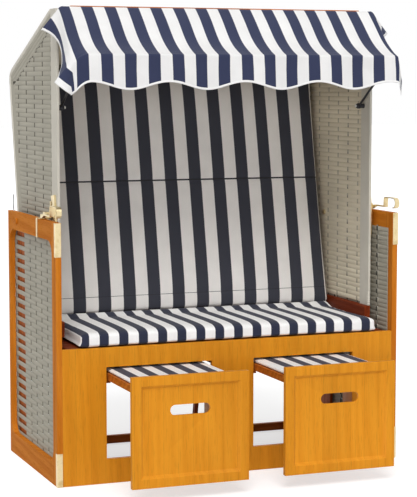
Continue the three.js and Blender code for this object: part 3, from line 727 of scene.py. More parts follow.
def make_screw_heads():
    """Sets a low cross-slotted head on every given point, facing outwards."""
    tree, given = growing_tree("screw heads", "Places", ("Radius",))
    dome = grow(tree, "MeshCone", {
        "Vertices": 14, "Radius Top": 0.66, "Radius Bottom": 1.0, "Depth": 0.42,
    })
    slots = []
    for size in ((1.3, 0.2, 0.5), (0.2, 1.3, 0.5)):
        cutter = grow(tree, "MeshCube", {"Size": size})
        slots.append(grow(tree, "Transform", {
            "Geometry": cutter, "Translation": (0, 0, 0.46),
        }))
    slotted = put(tree, "GeometryNodeMeshBoolean", {0: dome}, operation="DIFFERENCE")
    for slot_cutter in slots:
        tree.links.new(slot_cutter, slotted.inputs[1])
    outward = put(tree, "GeometryNodeInputNamedAttribute", {"Name": "outward"},
                  data_type="FLOAT_VECTOR").outputs[0]
    facing = put(tree, "FunctionNodeAlignRotationToVector", {"Vector": outward}, axis="Z")
    angle = put(tree, "FunctionNodeRandomValue", {"Max": 3.1, "Seed": 5}, data_type="FLOAT")
    twist = put(tree, "ShaderNodeCombineXYZ", {
        2: next(output for output in angle.outputs if output.enabled),
    })
    turned = put(tree, "FunctionNodeRotateRotation", {
        0: facing.outputs[0], 1: twist.outputs[0],
    }, rotation_space="LOCAL")
    placed = grow(tree, "InstanceOnPoints", {
        "Points": given["Places"], "Instance": slotted.outputs[0],
        "Rotation": turned.outputs[0], "Scale": given["Radius"],
    })
    return finish_tree(tree, given, placed)


brass = metal("polished brass", paint(228, 210, 166), paint(204, 182, 132), 0.3)
screw_heads = make_screw_heads()


def screws(name, places, radius, finish, body):
    """Screw heads at the given places, each a point and the way that it faces."""
    mesh = bpy.data.meshes.new(name + "_places")
    mesh.from_pydata([place for place, out in places], [], [])
    outward = [part for place, out in places for part in out]
    mesh.attributes.new("outward", "FLOAT_VECTOR", "POINT").data.foreach_set("vector", outward)
    piece = grown(name, mesh, screw_heads, {"Radius": radius, "Finish": finish})
    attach(piece, body)


cap_screws = []
for end in ("top", "bottom"):
    for side, sign in sides:
        cap = f"{end}_cap_{side}"
        planed(cap, 0.0004, brass)
        low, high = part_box(cap)
        middle = (low.z + high.z) / 2
        for step in (-0.036, 0.0, 0.036):
            cap_screws.append((Vector((sign * 0.582, low.y, middle + step)), (0, -1, 0)))
screws("cap_screws", cap_screws, 0.0024, brass, "base")

# TILT BOLTS AND REAR PINS
# A turned brass bolt on each side carries the hood, with washers on both sides of the
# frame. A flush wooden plug hides its outer end. Two plain steel pins stand at the rear of
# the top rails.


def lathe(name, steps, centre, axis, finish, body, sign=1, around=40):
    """A piece turned about a line: its steps are distances along the line and radii."""
    work = bmesh.new()
    rings = []
    for along, radius in steps:
        ring = []
        for i in range(around if radius else 1):
            angle = 2 * math.pi * i / around
            a, b = radius * math.cos(angle), radius * math.sin(angle)
            spot = {"X": (sign * along, a, b), "Z": (a, b, along)}[axis]
            ring.append(work.verts.new(Vector(spot) + Vector(centre)))
        rings.append(ring)
    for ring, following in zip(rings, rings[1:]):
        for i in range(around):
            four = [ring[i % len(ring)], ring[(i + 1) % len(ring)],
                    following[(i + 1) % len(following)], following[i % len(following)]]
            corners = list(dict.fromkeys(four))
            if len(corners) > 2:
                work.faces.new(corners)
    bmesh.ops.recalc_face_normals(work, faces=work.faces)
    piece = set_out(name, mesh_of(name, work, finish, 40))
    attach(piece, body)
    return piece


steel = metal("bright steel", paint(190, 190, 192), paint(140, 140, 144), 0.3)
bolt_place = (0, base_front + 0.465, 0.8)
bolt_steps = (
    (0.5345, 0), (0.5345, 0.0072), (0.5352, 0.0082), (0.5400, 0.0089), (0.5407, 0.0086),
    (0.5407, 0.006), (0.5494, 0.006), (0.5494, 0.0134), (0.5500, 0.014), (0.5711, 0.014),
    (0.5717, 0.0134), (0.5717, 0.006), (0.5903, 0.006), (0.5903, 0.0084), (0.5909, 0.0090),
    (0.5920, 0.0086), (0.5930, 0.0060), (0.5934, 0),
)
for side, sign in sides:
    bolt = lathe("turned_bolt_" + side, bolt_steps, bolt_place, "X", brass, "base", sign)
    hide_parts("tilt_bolt_" + side)
    lathe("bolt_plug_" + side, (
        (0.5903, 0), (0.5903, 0.0105), (0.5936, 0.0105), (0.5943, 0.0099), (0.5946, 0.0085),
        (0.5947, 0),
    ), bolt_place, "X", side_timber["material"], "base", sign)
    low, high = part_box("rear_pin_" + side)
    middle = (low + high) / 2
    pin = lathe("turned_pin_" + side, (
        (low.z, 0), (low.z, 0.002), (high.z - 0.002, 0.002), (high.z - 0.0008, 0.0015),
        (high.z - 0.0002, 0.0008), (high.z, 0),
    ), (middle.x, middle.y, 0), "Z", steel, "base", around=20)
    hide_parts("rear_pin_" + side)

# HOOD ADJUSTER
# Brass catch blocks are screwed to the top rails. In each turns a lever with a scrolled
# handle, whose tooth drops into the notched arc on the hood's side.
for side, sign in sides:
    planed("catch_block_" + side, 0.0007, brass)
    planed("release_lever_" + side, 0.0005, brass, 50)
    planed("tilt_rack_" + side, 0.0004, brass)
    screws("catch_screws_" + side, [
        (Vector((sign * 0.5940, base_front + 0.205, z)), (sign, 0, 0)) for z in (0.782, 0.806)
    ], 0.0022, brass, "base")

# HOOD FRAME
# Two sills, a top rail, a low cross rail and the backrest board hold the hood together.
# They are stained timber and lie mostly behind the cane and the cushions.
for node in ("hood_top_rail", "hood_cross_rail", "backrest_board"):
    planed(node, 0.0015, inner_along_x)
for side in ("left", "right"):
    planed("hood_sill_" + side, 0.0018, inner_along_y)

# HOOD POSTS
# The front edge of each hood wall is a deep, thin post sheathed in smooth pale cane. Its
# front edge is bound round with a narrow band in its upper part and at its foot.
cane_rim = cane("pale cane rim", paint(224, 219, 207), paint(208, 203, 190), (1, 1, 0.03))
hood_half = 0.549
post_wide = 0.008
post_front = base_front + 0.115
post_back = base_front + 0.180
sill_top = 0.505
hood_top = 1.490
band_pitch = 0.0066
band_slant = 0.0016


def post_bindings(sign, low, high):
    """Bands bound round the front, the inner and the outer face of a post."""
    outer = sign * (hood_half + 0.0003)
    inner = sign * (hood_half - post_wide - 0.0003)
    near = post_front - 0.0003
    far = post_front + 0.012
    round_off = 0.003
    path = [
        (inner, far, (-sign, 0, 0)), (inner, near + round_off, (-sign, 0, 0)),
        (inner + sign * round_off * 0.3, near + round_off * 0.3, (-sign * 0.7, -0.7, 0)),
        (inner + sign * round_off, near, (0, -1, 0)), (outer - sign * round_off, near, (0, -1, 0)),
        (outer - sign * round_off * 0.3, near + round_off * 0.3, (sign * 0.7, -0.7, 0)),
        (outer, near + round_off, (sign, 0, 0)), (outer, far, (sign, 0, 0)),
    ]
    bands = []
    for i in range(int((high - low) / band_pitch)):
        z = low + band_pitch * (i + 0.5)
        lift = [band_slant * (2 * j / (len(path) - 1) - 1) * sign for j in range(len(path))]
        points = [(Vector((x, y, z + lift[j])), Vector(out), 0.0)
                  for j, (x, y, out) in enumerate(path)]
        bands.append((points, cane_tones.random()))
    return bands


for side, sign in sides:
    planed("hood_post_" + side, 0.0006, cane_rim)
    bands = post_bindings(sign, hood_top - 0.21, hood_top - 0.002)
    bands += post_bindings(sign, sill_top + 0.002, sill_top + 0.05)
    binding = woven("post_bindings_" + side, bands, 0.0061, 0.0014, 0.0, cane_rim)
    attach(binding, "hood")

# HOOD CANE
# The hood's walls, roof and back are woven in the same flat cane. Smooth strands run
# beside the rear edge and the roof line, and a rounded binding covers the corners.
roof_front = (base_front + 0.190, hood_top)
roof_back = (base_front + 0.676, 1.305)
hood_corner = (base_front + 0.705, 1.283)
hood_foot = (base_front + 0.551, 0.520)
shell = (roof_front, roof_back, hood_corner, hood_foot)
wall_thick = 0.016
# The lining is the same cane painted lighter than the outside, standing in for light inside the
# hood, with a painted pale edge and weaker painted shade in its hollows.
cane_inner = cane("inner cane painted lighter", paint(238, 228, 204), paint(222, 211, 188), painted_gleam=0.8,
                  hollow_shade=0.6)


def inset(line, distance):
    """The shell's line moved inwards by a distance, its corners kept."""
    normals = []
    for (y0, z0), (y1, z1) in zip(line, line[1:]):
        length = math.hypot(y1 - y0, z1 - z0)
        normals.append(((z1 - z0) / length, -(y1 - y0) / length))
    moved = []
    for i, (y, z) in enumerate(line):
        first = normals[max(i - 1, 0)]
        second = normals[min(i, len(normals) - 1)]
        scale = distance / (1 + first[0] * second[0] + first[1] * second[1])
        moved.append((y + (first[0] + second[0]) * scale, z + (first[1] + second[1]) * scale))
    return moved


def rear_edge(line, z):
    """How far back a row at height z may run, or None above the line."""
    reach = None
    for (y0, z0), (y1, z1) in zip(line, line[1:]):
        if min(z0, z1) <= z <= max(z0, z1) and z0 != z1:
            y = y0 + (y1 - y0) * (z - z0) / (z1 - z0)
            reach = y if reach is None else max(reach, y)
    return reach


def wall_rows(surface, out, line, first_z, stakes):
    """Rows across a hood wall, from the post back to the given line."""
    rows = []
    for row in range(int((hood_top - first_z) / row_pitch)):
        z = first_z + row_pitch * (row + 0.5)
        lean = (hood_corner[0] - hood_foot[0]) / (hood_corner[1] - hood_foot[1])
        drop = line[-1][1] - z
        back = line[-1][0] - lean * drop if drop > 0 else rear_edge(line, z)
        if back is None or back < post_back + 0.03:
            continue
        start = Vector((surface, post_back - 0.002, z))
        points = strand(start, Vector((surface, back, z)), out,
                        [stake - start.y for stake in stakes], row % 2 == 0)
        rows.append((points, cane_tones.random()))
    return rows


def shell_strand(x, line, out):
    """A strand that follows the shell's line at one distance from the middle."""
    return [(Vector((x, y, z)), out, 0.0) for y, z in line]


def rounded_line(line, radius=0.022, steps=5):
    """The line with its inner corners rounded by short arcs."""
    made = [line[0]]
    for before, corner, after in zip(line, line[1:], line[2:]):
        here = Vector(corner)
        arms = [(Vector(end) - here) for end in (before, after)]
        reach = [min(radius, arm.length * 0.45) for arm in arms]
        first, last = (here + arm.normalized() * r for arm, r in zip(arms, reach))
        for i in range(steps + 1):
            share = i / steps
            spot = first * (1 - share) ** 2 + here * 2 * share * (1 - share) + last * share ** 2
            made.append(tuple(spot))
    made.append(line[-1])
    return made


long_shell = (*shell, (hood_foot[0] - 0.003, sill_top + 0.001))
border = 0.061
wall_stakes = [base_front + 0.185 + 0.1 * i for i in range(6)]
inner_stakes = [base_front + 0.204 + 0.078 * i for i in range(7)]

for side, sign in sides:
    out = Vector((sign, 0, 0))
    outer = sign * (hood_half - 0.0022)
    inner = sign * (hood_half - 0.0068)
    rows = wall_rows(outer, out, inset(shell, border), sill_top, wall_stakes)
    for i, offset in enumerate((0.0235, 0.0385, 0.0535)):
        line = rounded_line(inset(long_shell, offset))
        rows.append((shell_strand(outer, line, out), 0.55 + 0.2 * (i % 2)))
    lining_rows = wall_rows(inner, -out, inset(shell, wall_thick + 0.002),
                            sill_top + row_pitch / 2, inner_stakes)
    seam_line = rounded_line(inset(long_shell, 0.0612))
    edge_line = rounded_line(inset(long_shell, wall_thick / 2))
    edges = [(shell_strand(sign * (hood_half - 0.0042), edge_line, out), 0.8)]
    seam_points = [(shell_strand(sign * (hood_half - 0.0026), seam_line, out), 0.0)]
    stakes = []
    for where, places, depth in ((outer, wall_stakes, -sign), (inner, inner_stakes, sign)):
        for stake in places:
            x = where + depth * 0.0024
            low_end = Vector((x, stake, sill_top + 0.001))
            high_line = inset(shell, wall_thick + 0.002)
            top = high_line[0][1]
            for (y0, z0), (y1, z1) in zip(high_line, high_line[1:3]):
                if y0 <= stake <= y1:
                    top = z0 + (z1 - z0) * (stake - y0) / (y1 - y0)
            if stake > hood_foot[0] - 0.003:
                rise = (hood_corner[1] - hood_foot[1]) / (hood_corner[0] - hood_foot[0])
                low_end.z = hood_foot[1] + (stake - hood_foot[0]) * rise + 0.03
            if low_end.z < top - 0.05:
                stakes.append(([(low_end, out, 0.0), (Vector((x, stake, top)), out, 0.0)], 0.2))
    for name, strands, width, thick, dip, finish in (
            ("cane_wall_", rows, cane_width, cane_thick, 0.0028, cane_outer),
            ("cane_lining_", lining_rows, cane_width, cane_thick, 0.0022, cane_inner),
            ("cane_binding_", edges, wall_thick + 0.001, 0.009, 0.0, cane_rim),
            ("cane_seam_", seam_points, 0.0034, 0.0022, 0.0, cane_upright),
            ("cane_wall_stakes_", stakes, 0.0055, 0.0012, 0.0, cane_upright)):
        piece = woven(name + side, strands, width, thick, dip, finish)
        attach(piece, "hood")
        if name == "cane_wall_":
            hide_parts("hood_side_" + side)


def panel_rows(line, out_sign, depth, first, stakes, edge):
    """Rows across the hood's full width, laid down the line of the roof or the back."""
    rows = []
    moved = inset(line, depth)
    row = 0
    left_over = first
    for (y0, z0), (y1, z1) in zip(moved, moved[1:]):
        length = math.hypot(y1 - y0, z1 - z0)
        out = Vector((0, -(z1 - z0) / length, (y1 - y0) / length)) * out_sign
        run = left_over
        while run < length:
            y = y0 + (y1 - y0) * run / length
            z = z0 + (z1 - z0) * run / length
            points = strand(Vector((-edge, y, z)), Vector((edge, y, z)), out, stakes, row % 2 == 0)
            rows.append((points, cane_tones.random()))
            run += row_pitch
            row += 1
        left_over = run - length
    return rows


panel_skin = 0.0014
panel_edge = hood_half - 0.004
panel_stakes = [panel_edge + 0.098 * (i - 5) for i in range(11)]
roof_end = tuple(a + (b - a) * 0.055 for a, b in zip(hood_corner, hood_foot))
roof_line = (roof_front, roof_back, hood_corner, roof_end)
back_line = (roof_end, hood_foot)
panels = (
    ("cane_roof", roof_line, 1, panel_skin, cane_outer, "hood_roof"),
    ("cane_roof_lining", roof_line, -1, wall_thick - panel_skin, cane_inner, None),
    ("cane_back", back_line, 1, panel_skin, cane_outer, "hood_back"),
    ("cane_back_lining", back_line, -1, wall_thick - panel_skin, cane_inner, None),
)
for name, line, facing, depth, finish, node in panels:
    rows = panel_rows(line, facing, depth, row_pitch / 2, panel_stakes, panel_edge)
    panel = woven(name, rows, cane_width, cane_thick, 0.0036, finish)
    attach(panel, "hood")
    if node:
        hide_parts(node)

# CUSHIONS
# Foam cushions in striped canvas with white ends: one on the seat, and a tall one on the
# backrest with two sewn seams across it, a thick round one, whose dark cord also stands in
# for the shade in the fold there, and a thin one near its foot.


def make_canvas():
    """Plain woven canvas: crossing threads, slubs, and a faint unevenness of dye."""
    group, given, made = shader_group("canvas threads", {
        "Place": (0, 0, 0), "Thread": 0.0011, "Color": (1, 1, 1, 1),
    }, {"Cloth": "Color", "Height": "Float"})
    parts = put(group, "ShaderNodeSeparateXYZ", {0: given["Place"]})
    turns = maths(group, 2 * math.pi, given["Thread"], "DIVIDE")
    warp = maths(group, maths(group, parts.outputs[0], turns), 0.0, "SINE")
    weft_run = maths(group, parts.outputs[1], parts.outputs[2], "ADD")
    weft = maths(group, maths(group, weft_run, turns), 0.0, "SINE")
    threads = maths(group, warp, weft)
    slubs = noise(group, given["Place"], 700.0, 2.0)
    dye = noise(group, given["Place"], 11.0, 3.0)
    level = maths(group, between(group, threads, -1, 1, 0.94, 1.02),
                  between(group, dye, 0.3, 0.7, 0.95, 1.03))
    toned = scaled(group, given["Color"], level)
    feed(group, made, {
        "Cloth": toned, "Height": maths(group, threads, maths(group, slubs, 0.8), "ADD"),
    })
    return group


def make_stripes():
    """Woven stripes along one direction, their edges a little ragged."""
    group, given, made = shader_group("woven stripes", {
        "Across": 0.0, "Pitch": 0.08, "Share": 0.5, "Middle": 0.0, "Place": (0, 0, 0),
    }, {"Dark stripe": "Float"})
    rag = noise(group, given["Place"], 500.0, 1.0)
    moved = maths(group, given["Across"], between(group, rag, 0, 1, -0.0004, 0.0004), "ADD")
    shift = maths(group, maths(group, moved, given["Middle"], "SUBTRACT"),
                  given["Pitch"], "DIVIDE")
    within = maths(group, maths(group, shift, 0.5, "ADD"), 1.0, "FLOORED_MODULO")
    off = maths(group, maths(group, within, 0.5, "SUBTRACT"), 0.0, "ABSOLUTE")
    edge = maths(group, given["Share"], 0.5)
    soft = maths(group, 0.0006, given["Pitch"], "DIVIDE")
    inside = maths(group, maths(group, edge, off, "SUBTRACT"), soft, "DIVIDE")
    feed(group, made, {"Dark stripe": between(group, inside, -1, 1)})
    return group


canvas_threads = make_canvas()
woven_stripes = make_stripes()
canvas_white = paint(246, 245, 244)
canvas_navy = paint(44, 48, 68)


def held(value, low=0.0, high=1.0):
    """The value, kept between its limits."""
    return min(max(value, low), high)


def canvas(name, pitch, share, middle, across="X", white_ends=False, navy=canvas_navy,
           white=canvas_white):
    """Striped canvas. Stripes follow the object's X, or an attribute of the cloth."""
    finish, tree, shader = new_material(name)
    place = object_place(tree)
    if across == "X":
        reading = channel(tree, place, "X")
    else:
        reading = marked(tree, across)
    dark = put(tree, "ShaderNodeGroup", {
        "Across": reading, "Place": place, "Pitch": pitch, "Share": share, "Middle": middle,
    }, node_tree=woven_stripes).outputs["Dark stripe"]
    if white_ends:
        normal = put(tree, "ShaderNodeNewGeometry").outputs["Normal"]
        facing = channel(tree, normal, "X")
        sideways = between(tree, maths(tree, facing, 0.0, "ABSOLUTE"), 0.72, 0.8, 1.0, 0.0)
        dark = maths(tree, dark, sideways)
    threads = put(tree, "ShaderNodeGroup", {
        "Place": place, "Color": mix(tree, dark, white, navy),
    }, node_tree=canvas_threads).outputs
    emboss(tree, shader, 0.35, 0.00008, threads["Height"])
    feed(tree, shader, {
        "Base Color": threads["Cloth"], "Roughness": 0.92, "Specular IOR Level": 0.25,
        "Sheen Weight": 0.12, "Sheen Roughness": 0.5,
    })
    return {"material": finish, "tree": tree, "shader": shader, "cloth": threads["Cloth"]}


def foam_block(half, y0, y1, z0, z1, soften, cells, sharp_below=False):
    """A block with rounded edges, lying flat, as the foam is cut before it is covered."""
    work = bmesh.new()
    bmesh.ops.create_cube(work, size=2)
    deep, thick = (y1 - y0) / 2, (z1 - z0) / 2
    middle_y, middle_z = (y0 + y1) / 2, (z0 + z1) / 2
    for corner in work.verts:
        x, y, z = corner.co
        corner.co = (x * half, y * deep + middle_y, z * thick + middle_z)
    rounded = [edge for edge in work.edges
               if not sharp_below or max(end.co.z for end in edge.verts) > middle_z]
    bmesh.ops.bevel(work, geom=rounded, offset=soften, segments=cells, profile=0.5,
                    affect="EDGES", clamp_overlap=True)
    return mesh_of("foam", work)


swelling_steps = 20


def stuffed(name, mesh, voxel, pressure, cap):
    """Remeshes a block, lets air swell its cloth, and keeps it to the block's own size."""
    piece = set_out(name, mesh)
    bpy.context.view_layer.objects.active = piece
    remesh = piece.modifiers.new("remesh", "REMESH")
    remesh.mode = "VOXEL"
    remesh.voxel_size = voxel
    bpy.ops.object.modifier_apply(modifier=remesh.name)
    before = [corner.co.copy() for corner in piece.data.vertices]
    cloth = piece.modifiers.new("cloth", "CLOTH")
    cloth.settings.use_pressure = True
    cloth.settings.uniform_pressure_force = pressure
    cloth.settings.effector_weights.gravity = 0
    cloth.settings.quality = 4
    scene = bpy.context.scene
    for step in range(1, swelling_steps + 1):
        scene.frame_set(step)
    graph = bpy.context.evaluated_depsgraph_get()
    swollen = bpy.data.meshes.new_from_object(piece.evaluated_get(graph))
    piece.modifiers.clear()
    for corner, start in zip(swollen.vertices, before):
        move = corner.co - start
        if move.length > cap:
            corner.co = start + move.normalized() * cap
    for axis in range(3):
        first, last = (pick(point[axis] for point in before) for pick in (min, max))
        low, high = (pick(corner.co[axis] for corner in swollen.vertices) for pick in (min, max))
        for corner in swollen.vertices:
            corner.co[axis] = first + (corner.co[axis] - low) * (last - first) / (high - low)
    piece.data = swollen
    scene.frame_set(1)
    return piece


cover_inset = 0.001


def stuffed_cover(name, form, soften, voxel, cap, sharp_below=False):
    """A stuffed cover that starts a little smaller than the given form."""
    half, y0, y1, z0, z1 = form
    block = foam_block(half - cover_inset, y0 + cover_inset, y1 - cover_inset,
                       z0 + cover_inset, z1 - cover_inset, soften, 4, sharp_below)
    return stuffed(name, block, voxel, 4.0, cap)


def finish_cushion(piece, material, shape, subdivide=True):
    """Moves each point by the given shape, smooths the cover and dresses it."""
    mesh = piece.data
    for corner in mesh.vertices:
        corner.co = shape(corner.co)
    if subdivide:
        fine = piece.modifiers.new("fine", "SUBSURF")
        fine.levels = fine.render_levels = 1
        bpy.context.view_layer.objects.active = piece
        bpy.ops.object.modifier_apply(modifier=fine.name)
    mesh = piece.data
    mesh.materials.clear()
    mesh.materials.append(material)
    mesh.shade_smooth()


def soft_form(half, y0, y1, z0, z1, crown, draw_in, channels):
    """The covered cushion's crown, its sides drawn in, and its sewn channels."""
    middle = ((y0 + y1) / 2, (z0 + z1) / 2)

    def shape(point):
        a = held(point.x / half, -1.0)
        b = held((point.y - middle[0]) / ((y1 - y0) / 2), -1.0)
        upper = max((point.z - middle[1]) / ((z1 - z0) / 2), 0.0)
        x = point.x - math.copysign(draw_in * abs(a) ** 3 * (1 - b * b), a)
        y = point.y - math.copysign(draw_in * abs(b) ** 3 * (1 - a * a), b)
        z = point.z + crown * upper * (1 - a ** 4) * (1 - b ** 4)
        for at, width, depth in channels:
            pucker = 1 + 0.08 * math.sin(point.x * 210) * math.sin(point.x * 67 + at * 40)
            off = (point.y - at) / width
            z -= depth * pucker * upper * math.exp(-off * off)
        return Vector((x, y, z))

    return shape


seat_canvas = canvas("seat canvas", 0.065, 0.47, 0.0205, white_ends=True,
                     white=paint(251, 250, 249))
seat_form = (0.512, base_front - 0.003, base_front + 0.384, 0.4333, 0.482)
seat = stuffed_cover("seat_cushion_cover", seat_form, 0.010, 0.006, 0.006, True)
seat_shape = soft_form(*seat_form, 0.005, 0.004, ())


rear_rise = 0.014
end_splay = 0.016
cover_low = 0.4335


def seat_cover_shape(point):
    """The rear edge stands fuller against the backrest, and the ends splay at the foot."""
    moved = seat_shape(point)
    rear = held((point.y - seat_form[2] + 0.07) / 0.05)
    upper = held((point.z - 0.46) / 0.015)
    lower = held((0.4553 - point.z) / 0.022)
    end = held((abs(point.x) - seat_form[0] + 0.03) / 0.03)
    moved.x += math.copysign(end_splay * lower ** 2 * end, point.x)
    moved.z = max(moved.z + rear_rise * rear * upper, cover_low)
    return moved


finish_cushion(seat, seat_canvas["material"], seat_cover_shape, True)
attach(seat, "base")
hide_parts("seat_cushion")

back_canvas = canvas("backrest canvas", 0.0884, 0.5, 0.0442, white_ends=True,
                     navy=paint(60, 61, 70), white=paint(241, 237, 233))
back_lean = math.radians(11.7)
back_foot = Vector((0, base_front + 0.373, 0.486))
back_thick = 0.058
back_high = 0.832
back_form = (0.521, 0.0, back_high, 0.007, back_thick)
backrest = stuffed_cover("backrest_cushion_cover", back_form, 0.016, 0.0085, 0.007)
low_seam_at, high_seam_at = 0.058, 0.449
back_seams = ((low_seam_at, 0.006, 0.0025), (high_seam_at, 0.008, 0.004))
back_shape = soft_form(*back_form, 0.006, 0.004, back_seams)
# The cushion is sewn lying down. It is stood up on its edge and leant back here.
stand_up = (Matrix.Translation(back_foot) @ Matrix.Rotation(-back_lean, 4, "X")
            @ Matrix.Translation((0, back_thick, 0)) @ Matrix((
                (1, 0, 0, 0), (0, 0, -1, 0), (0, 1, 0, 0), (0, 0, 0, 1))))
finish_cushion(backrest, back_canvas["material"], lambda p: stand_up @ back_shape(p),
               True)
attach(backrest, "hood")
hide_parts("backrest_cushion")


def tube(name, path, radius, finish, around=14):
    """A round rod along a path of points."""
    line = bpy.data.curves.new(name, "CURVE")
    line.dimensions = "3D"
    spline = line.splines.new("POLY")
    spline.points.add(len(path) - 1)
    for point, place in zip(spline.points, path):
        point.co = (*place, 1)
    line.bevel_depth = radius
    line.bevel_resolution = around // 4
    line.use_fill_caps = True
    mesh = plain_mesh(set_out(name, line), name)
    mesh.materials.clear()
    mesh.materials.append(finish)
    mesh.shade_smooth()
    return set_out(name, mesh)


# The seams' cord is dark; on the thick upper seam the dark colour also stands in for the shade in
# the fold.
seam_cord_and_shade, thread_tree, thread_shader = new_material("dark seam cord and painted shade")
thread_twist = put(thread_tree, "ShaderNodeTexWave", {
    "Vector": object_place(thread_tree), "Scale": 160.0, "Distortion": 2.0,
}, bands_direction="DIAGONAL").outputs["Fac"]
emboss(thread_tree, thread_shader, 0.4, 0.0004, thread_twist)
feed(thread_tree, thread_shader, {
    "Base Color": mix(thread_tree, thread_twist, paint(26, 26, 30), paint(46, 46, 52)),
    "Roughness": 0.85,
})

cover = BVHTree.FromPolygons([corner.co for corner in backrest.data.vertices],
                             [face.vertices for face in backrest.data.polygons])
away = stand_up.to_3x3() @ Vector((0, 0, 1))
seam_steps = 120
seam_half = back_form[0] - 0.004
for name, at, radius in (
        ("low_seam", low_seam_at, 0.0009), ("high_seam", high_seam_at, 0.003)):
    path = []
    for i in range(seam_steps + 1):
        x = seam_half * (2 * i / seam_steps - 1)
        start = stand_up @ Vector((x, at, back_thick + 0.05))
        met = cover.ray_cast(start, -away)[0]
        if met is not None:
            path.append(met - away * radius * 0.3)
    seam = tube(name, path, radius, seam_cord_and_shade, 8)
    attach(seam, "hood")

# CANOPY BOW AND BRACKETS
# A bent black-painted rod carries the front of the canopy. The eyes at its ends turn on
# round brackets screwed inside the hood's posts, each with a small pale knob.
black_paint = metal("black paint", paint(40, 40, 44), paint(24, 24, 26), 0.42, (1, 1, 1), 0.35)
pale_knob = metal("pale knob", paint(226, 224, 218), paint(206, 204, 198), 0.45, (1, 1, 1), 0.2)
bow_pivot = (base_front + 0.160, 1.181)
bow_tip = (base_front - 0.084, 1.339)
bow_half = 0.522
bow_radius = 0.0038
arm = Vector((bow_tip[0] - bow_pivot[0], bow_tip[1] - bow_pivot[1]))
arm_length = arm.length
arm.normalize()
bend_reach = 0.03
bow_path = []
for sign in (-1, 1):
    half_path = [(sign * bow_half, bow_pivot[0] + arm.x * d, bow_pivot[1] + arm.y * d)
                 for d in (0.008, 0.06, 0.12, 0.18, arm_length - bend_reach)]
    for i in range(1, 9):
        share = i / 8
        d = arm_length - bend_reach * (1 - share) ** 2
        x = sign * (bow_half - bend_reach * share ** 2)
        half_path.append((x, bow_pivot[0] + arm.x * d, bow_pivot[1] + arm.y * d))
    bow_path.extend(half_path if sign < 0 else reversed(half_path))
bow = tube("bent_bow", bow_path, bow_radius, black_paint)
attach(bow, "canopy_bow")
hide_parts("canopy_bow")
for side, sign in sides:
    lathe("bow_eye_" + side, (
        (0.5170, 0.0034), (0.5170, 0.0084), (0.5176, 0.009), (0.5264, 0.009), (0.5270, 0.0084),
        (0.5270, 0.0034), (0.5170, 0.0034),
    ), (0, *bow_pivot), "X", black_paint, "canopy_bow", sign)
    bracket = lathe("bow_bracket_turned_" + side, (
        (0.5130, 0), (0.5130, 0.0066), (0.5136, 0.0070), (0.5154, 0.0074),
        (0.5160, 0.0070), (0.5164, 0.003), (0.5276, 0.003), (0.5276, 0.0064), (0.5290, 0.0070),
        (0.5360, 0.0072), (0.5380, 0.0078), (0.5388, 0.008), (0.5407, 0.008), (0.5407, 0),
    ), (0, *bow_pivot), "X", black_paint, "hood", sign)
    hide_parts("bow_bracket_" + side)
    lathe("bow_knob_turned_" + side, (
        (0.5075, 0), (0.5076, 0.0024), (0.5082, 0.0040), (0.5094, 0.0050), (0.5108, 0.0048),
        (0.5118, 0.0034), (0.5134, 0.0030), (0.5134, 0),
    ), (0, *bow_pivot), "X", pale_knob, "hood", sign)

# CANOPY
# One striped cloth, sewn with a scalloped valance in front and a flap at each side. It is
# fixed on the top rail under a batten and lies over the bow.
canopy_flap_share = 0.12
canopy_top_share = 0.62
canopy_rails = {-1: 0.531, 1: 0.535}
canopy_bow_ends = {-1: 0.548, 1: 0.531}
canopy_front_flares = {-1: 34, 1: 3}
flap_drop = 0.062
valance_drop = 0.104
scallop_depth = 0.012
scallop_pitch = 0.252
fold_radius = 0.012
valance_ripple = 0.005
cloth_slack = 0.006
canopy_line = [
    (base_front + y, z) for y, z in (
        (0.119, hood_top + 0.005), (0.107, hood_top + 0.0025), (0.062, 1.458), (-0.004, 1.397),
        (-0.056, 1.362), (-0.087, 1.3475),
    )
]


def along_line(points, share):
    """A point on a smooth curve through the given points, by its share of their length."""
    lengths = [math.dist(a, b) for a, b in zip(points, points[1:])]
    left = share * sum(lengths)
    i = 0
    while i < len(lengths) - 1 and left > lengths[i]:
        left -= lengths[i]
        i += 1
    t = min(left / lengths[i], 1.0)
    before = points[max(i - 1, 0)]
    after = points[min(i + 2, len(points) - 1)]
    a, b = points[i], points[i + 1]
    return [0.5 * (2 * p1 + (p2 - p0) * t + (2 * p0 - 5 * p1 + 4 * p2 - p3) * t * t
                   + (3 * p1 - p0 - 3 * p2 + p3) * t ** 3)
            for p0, p1, p2, p3 in zip(before, a, b, after)]


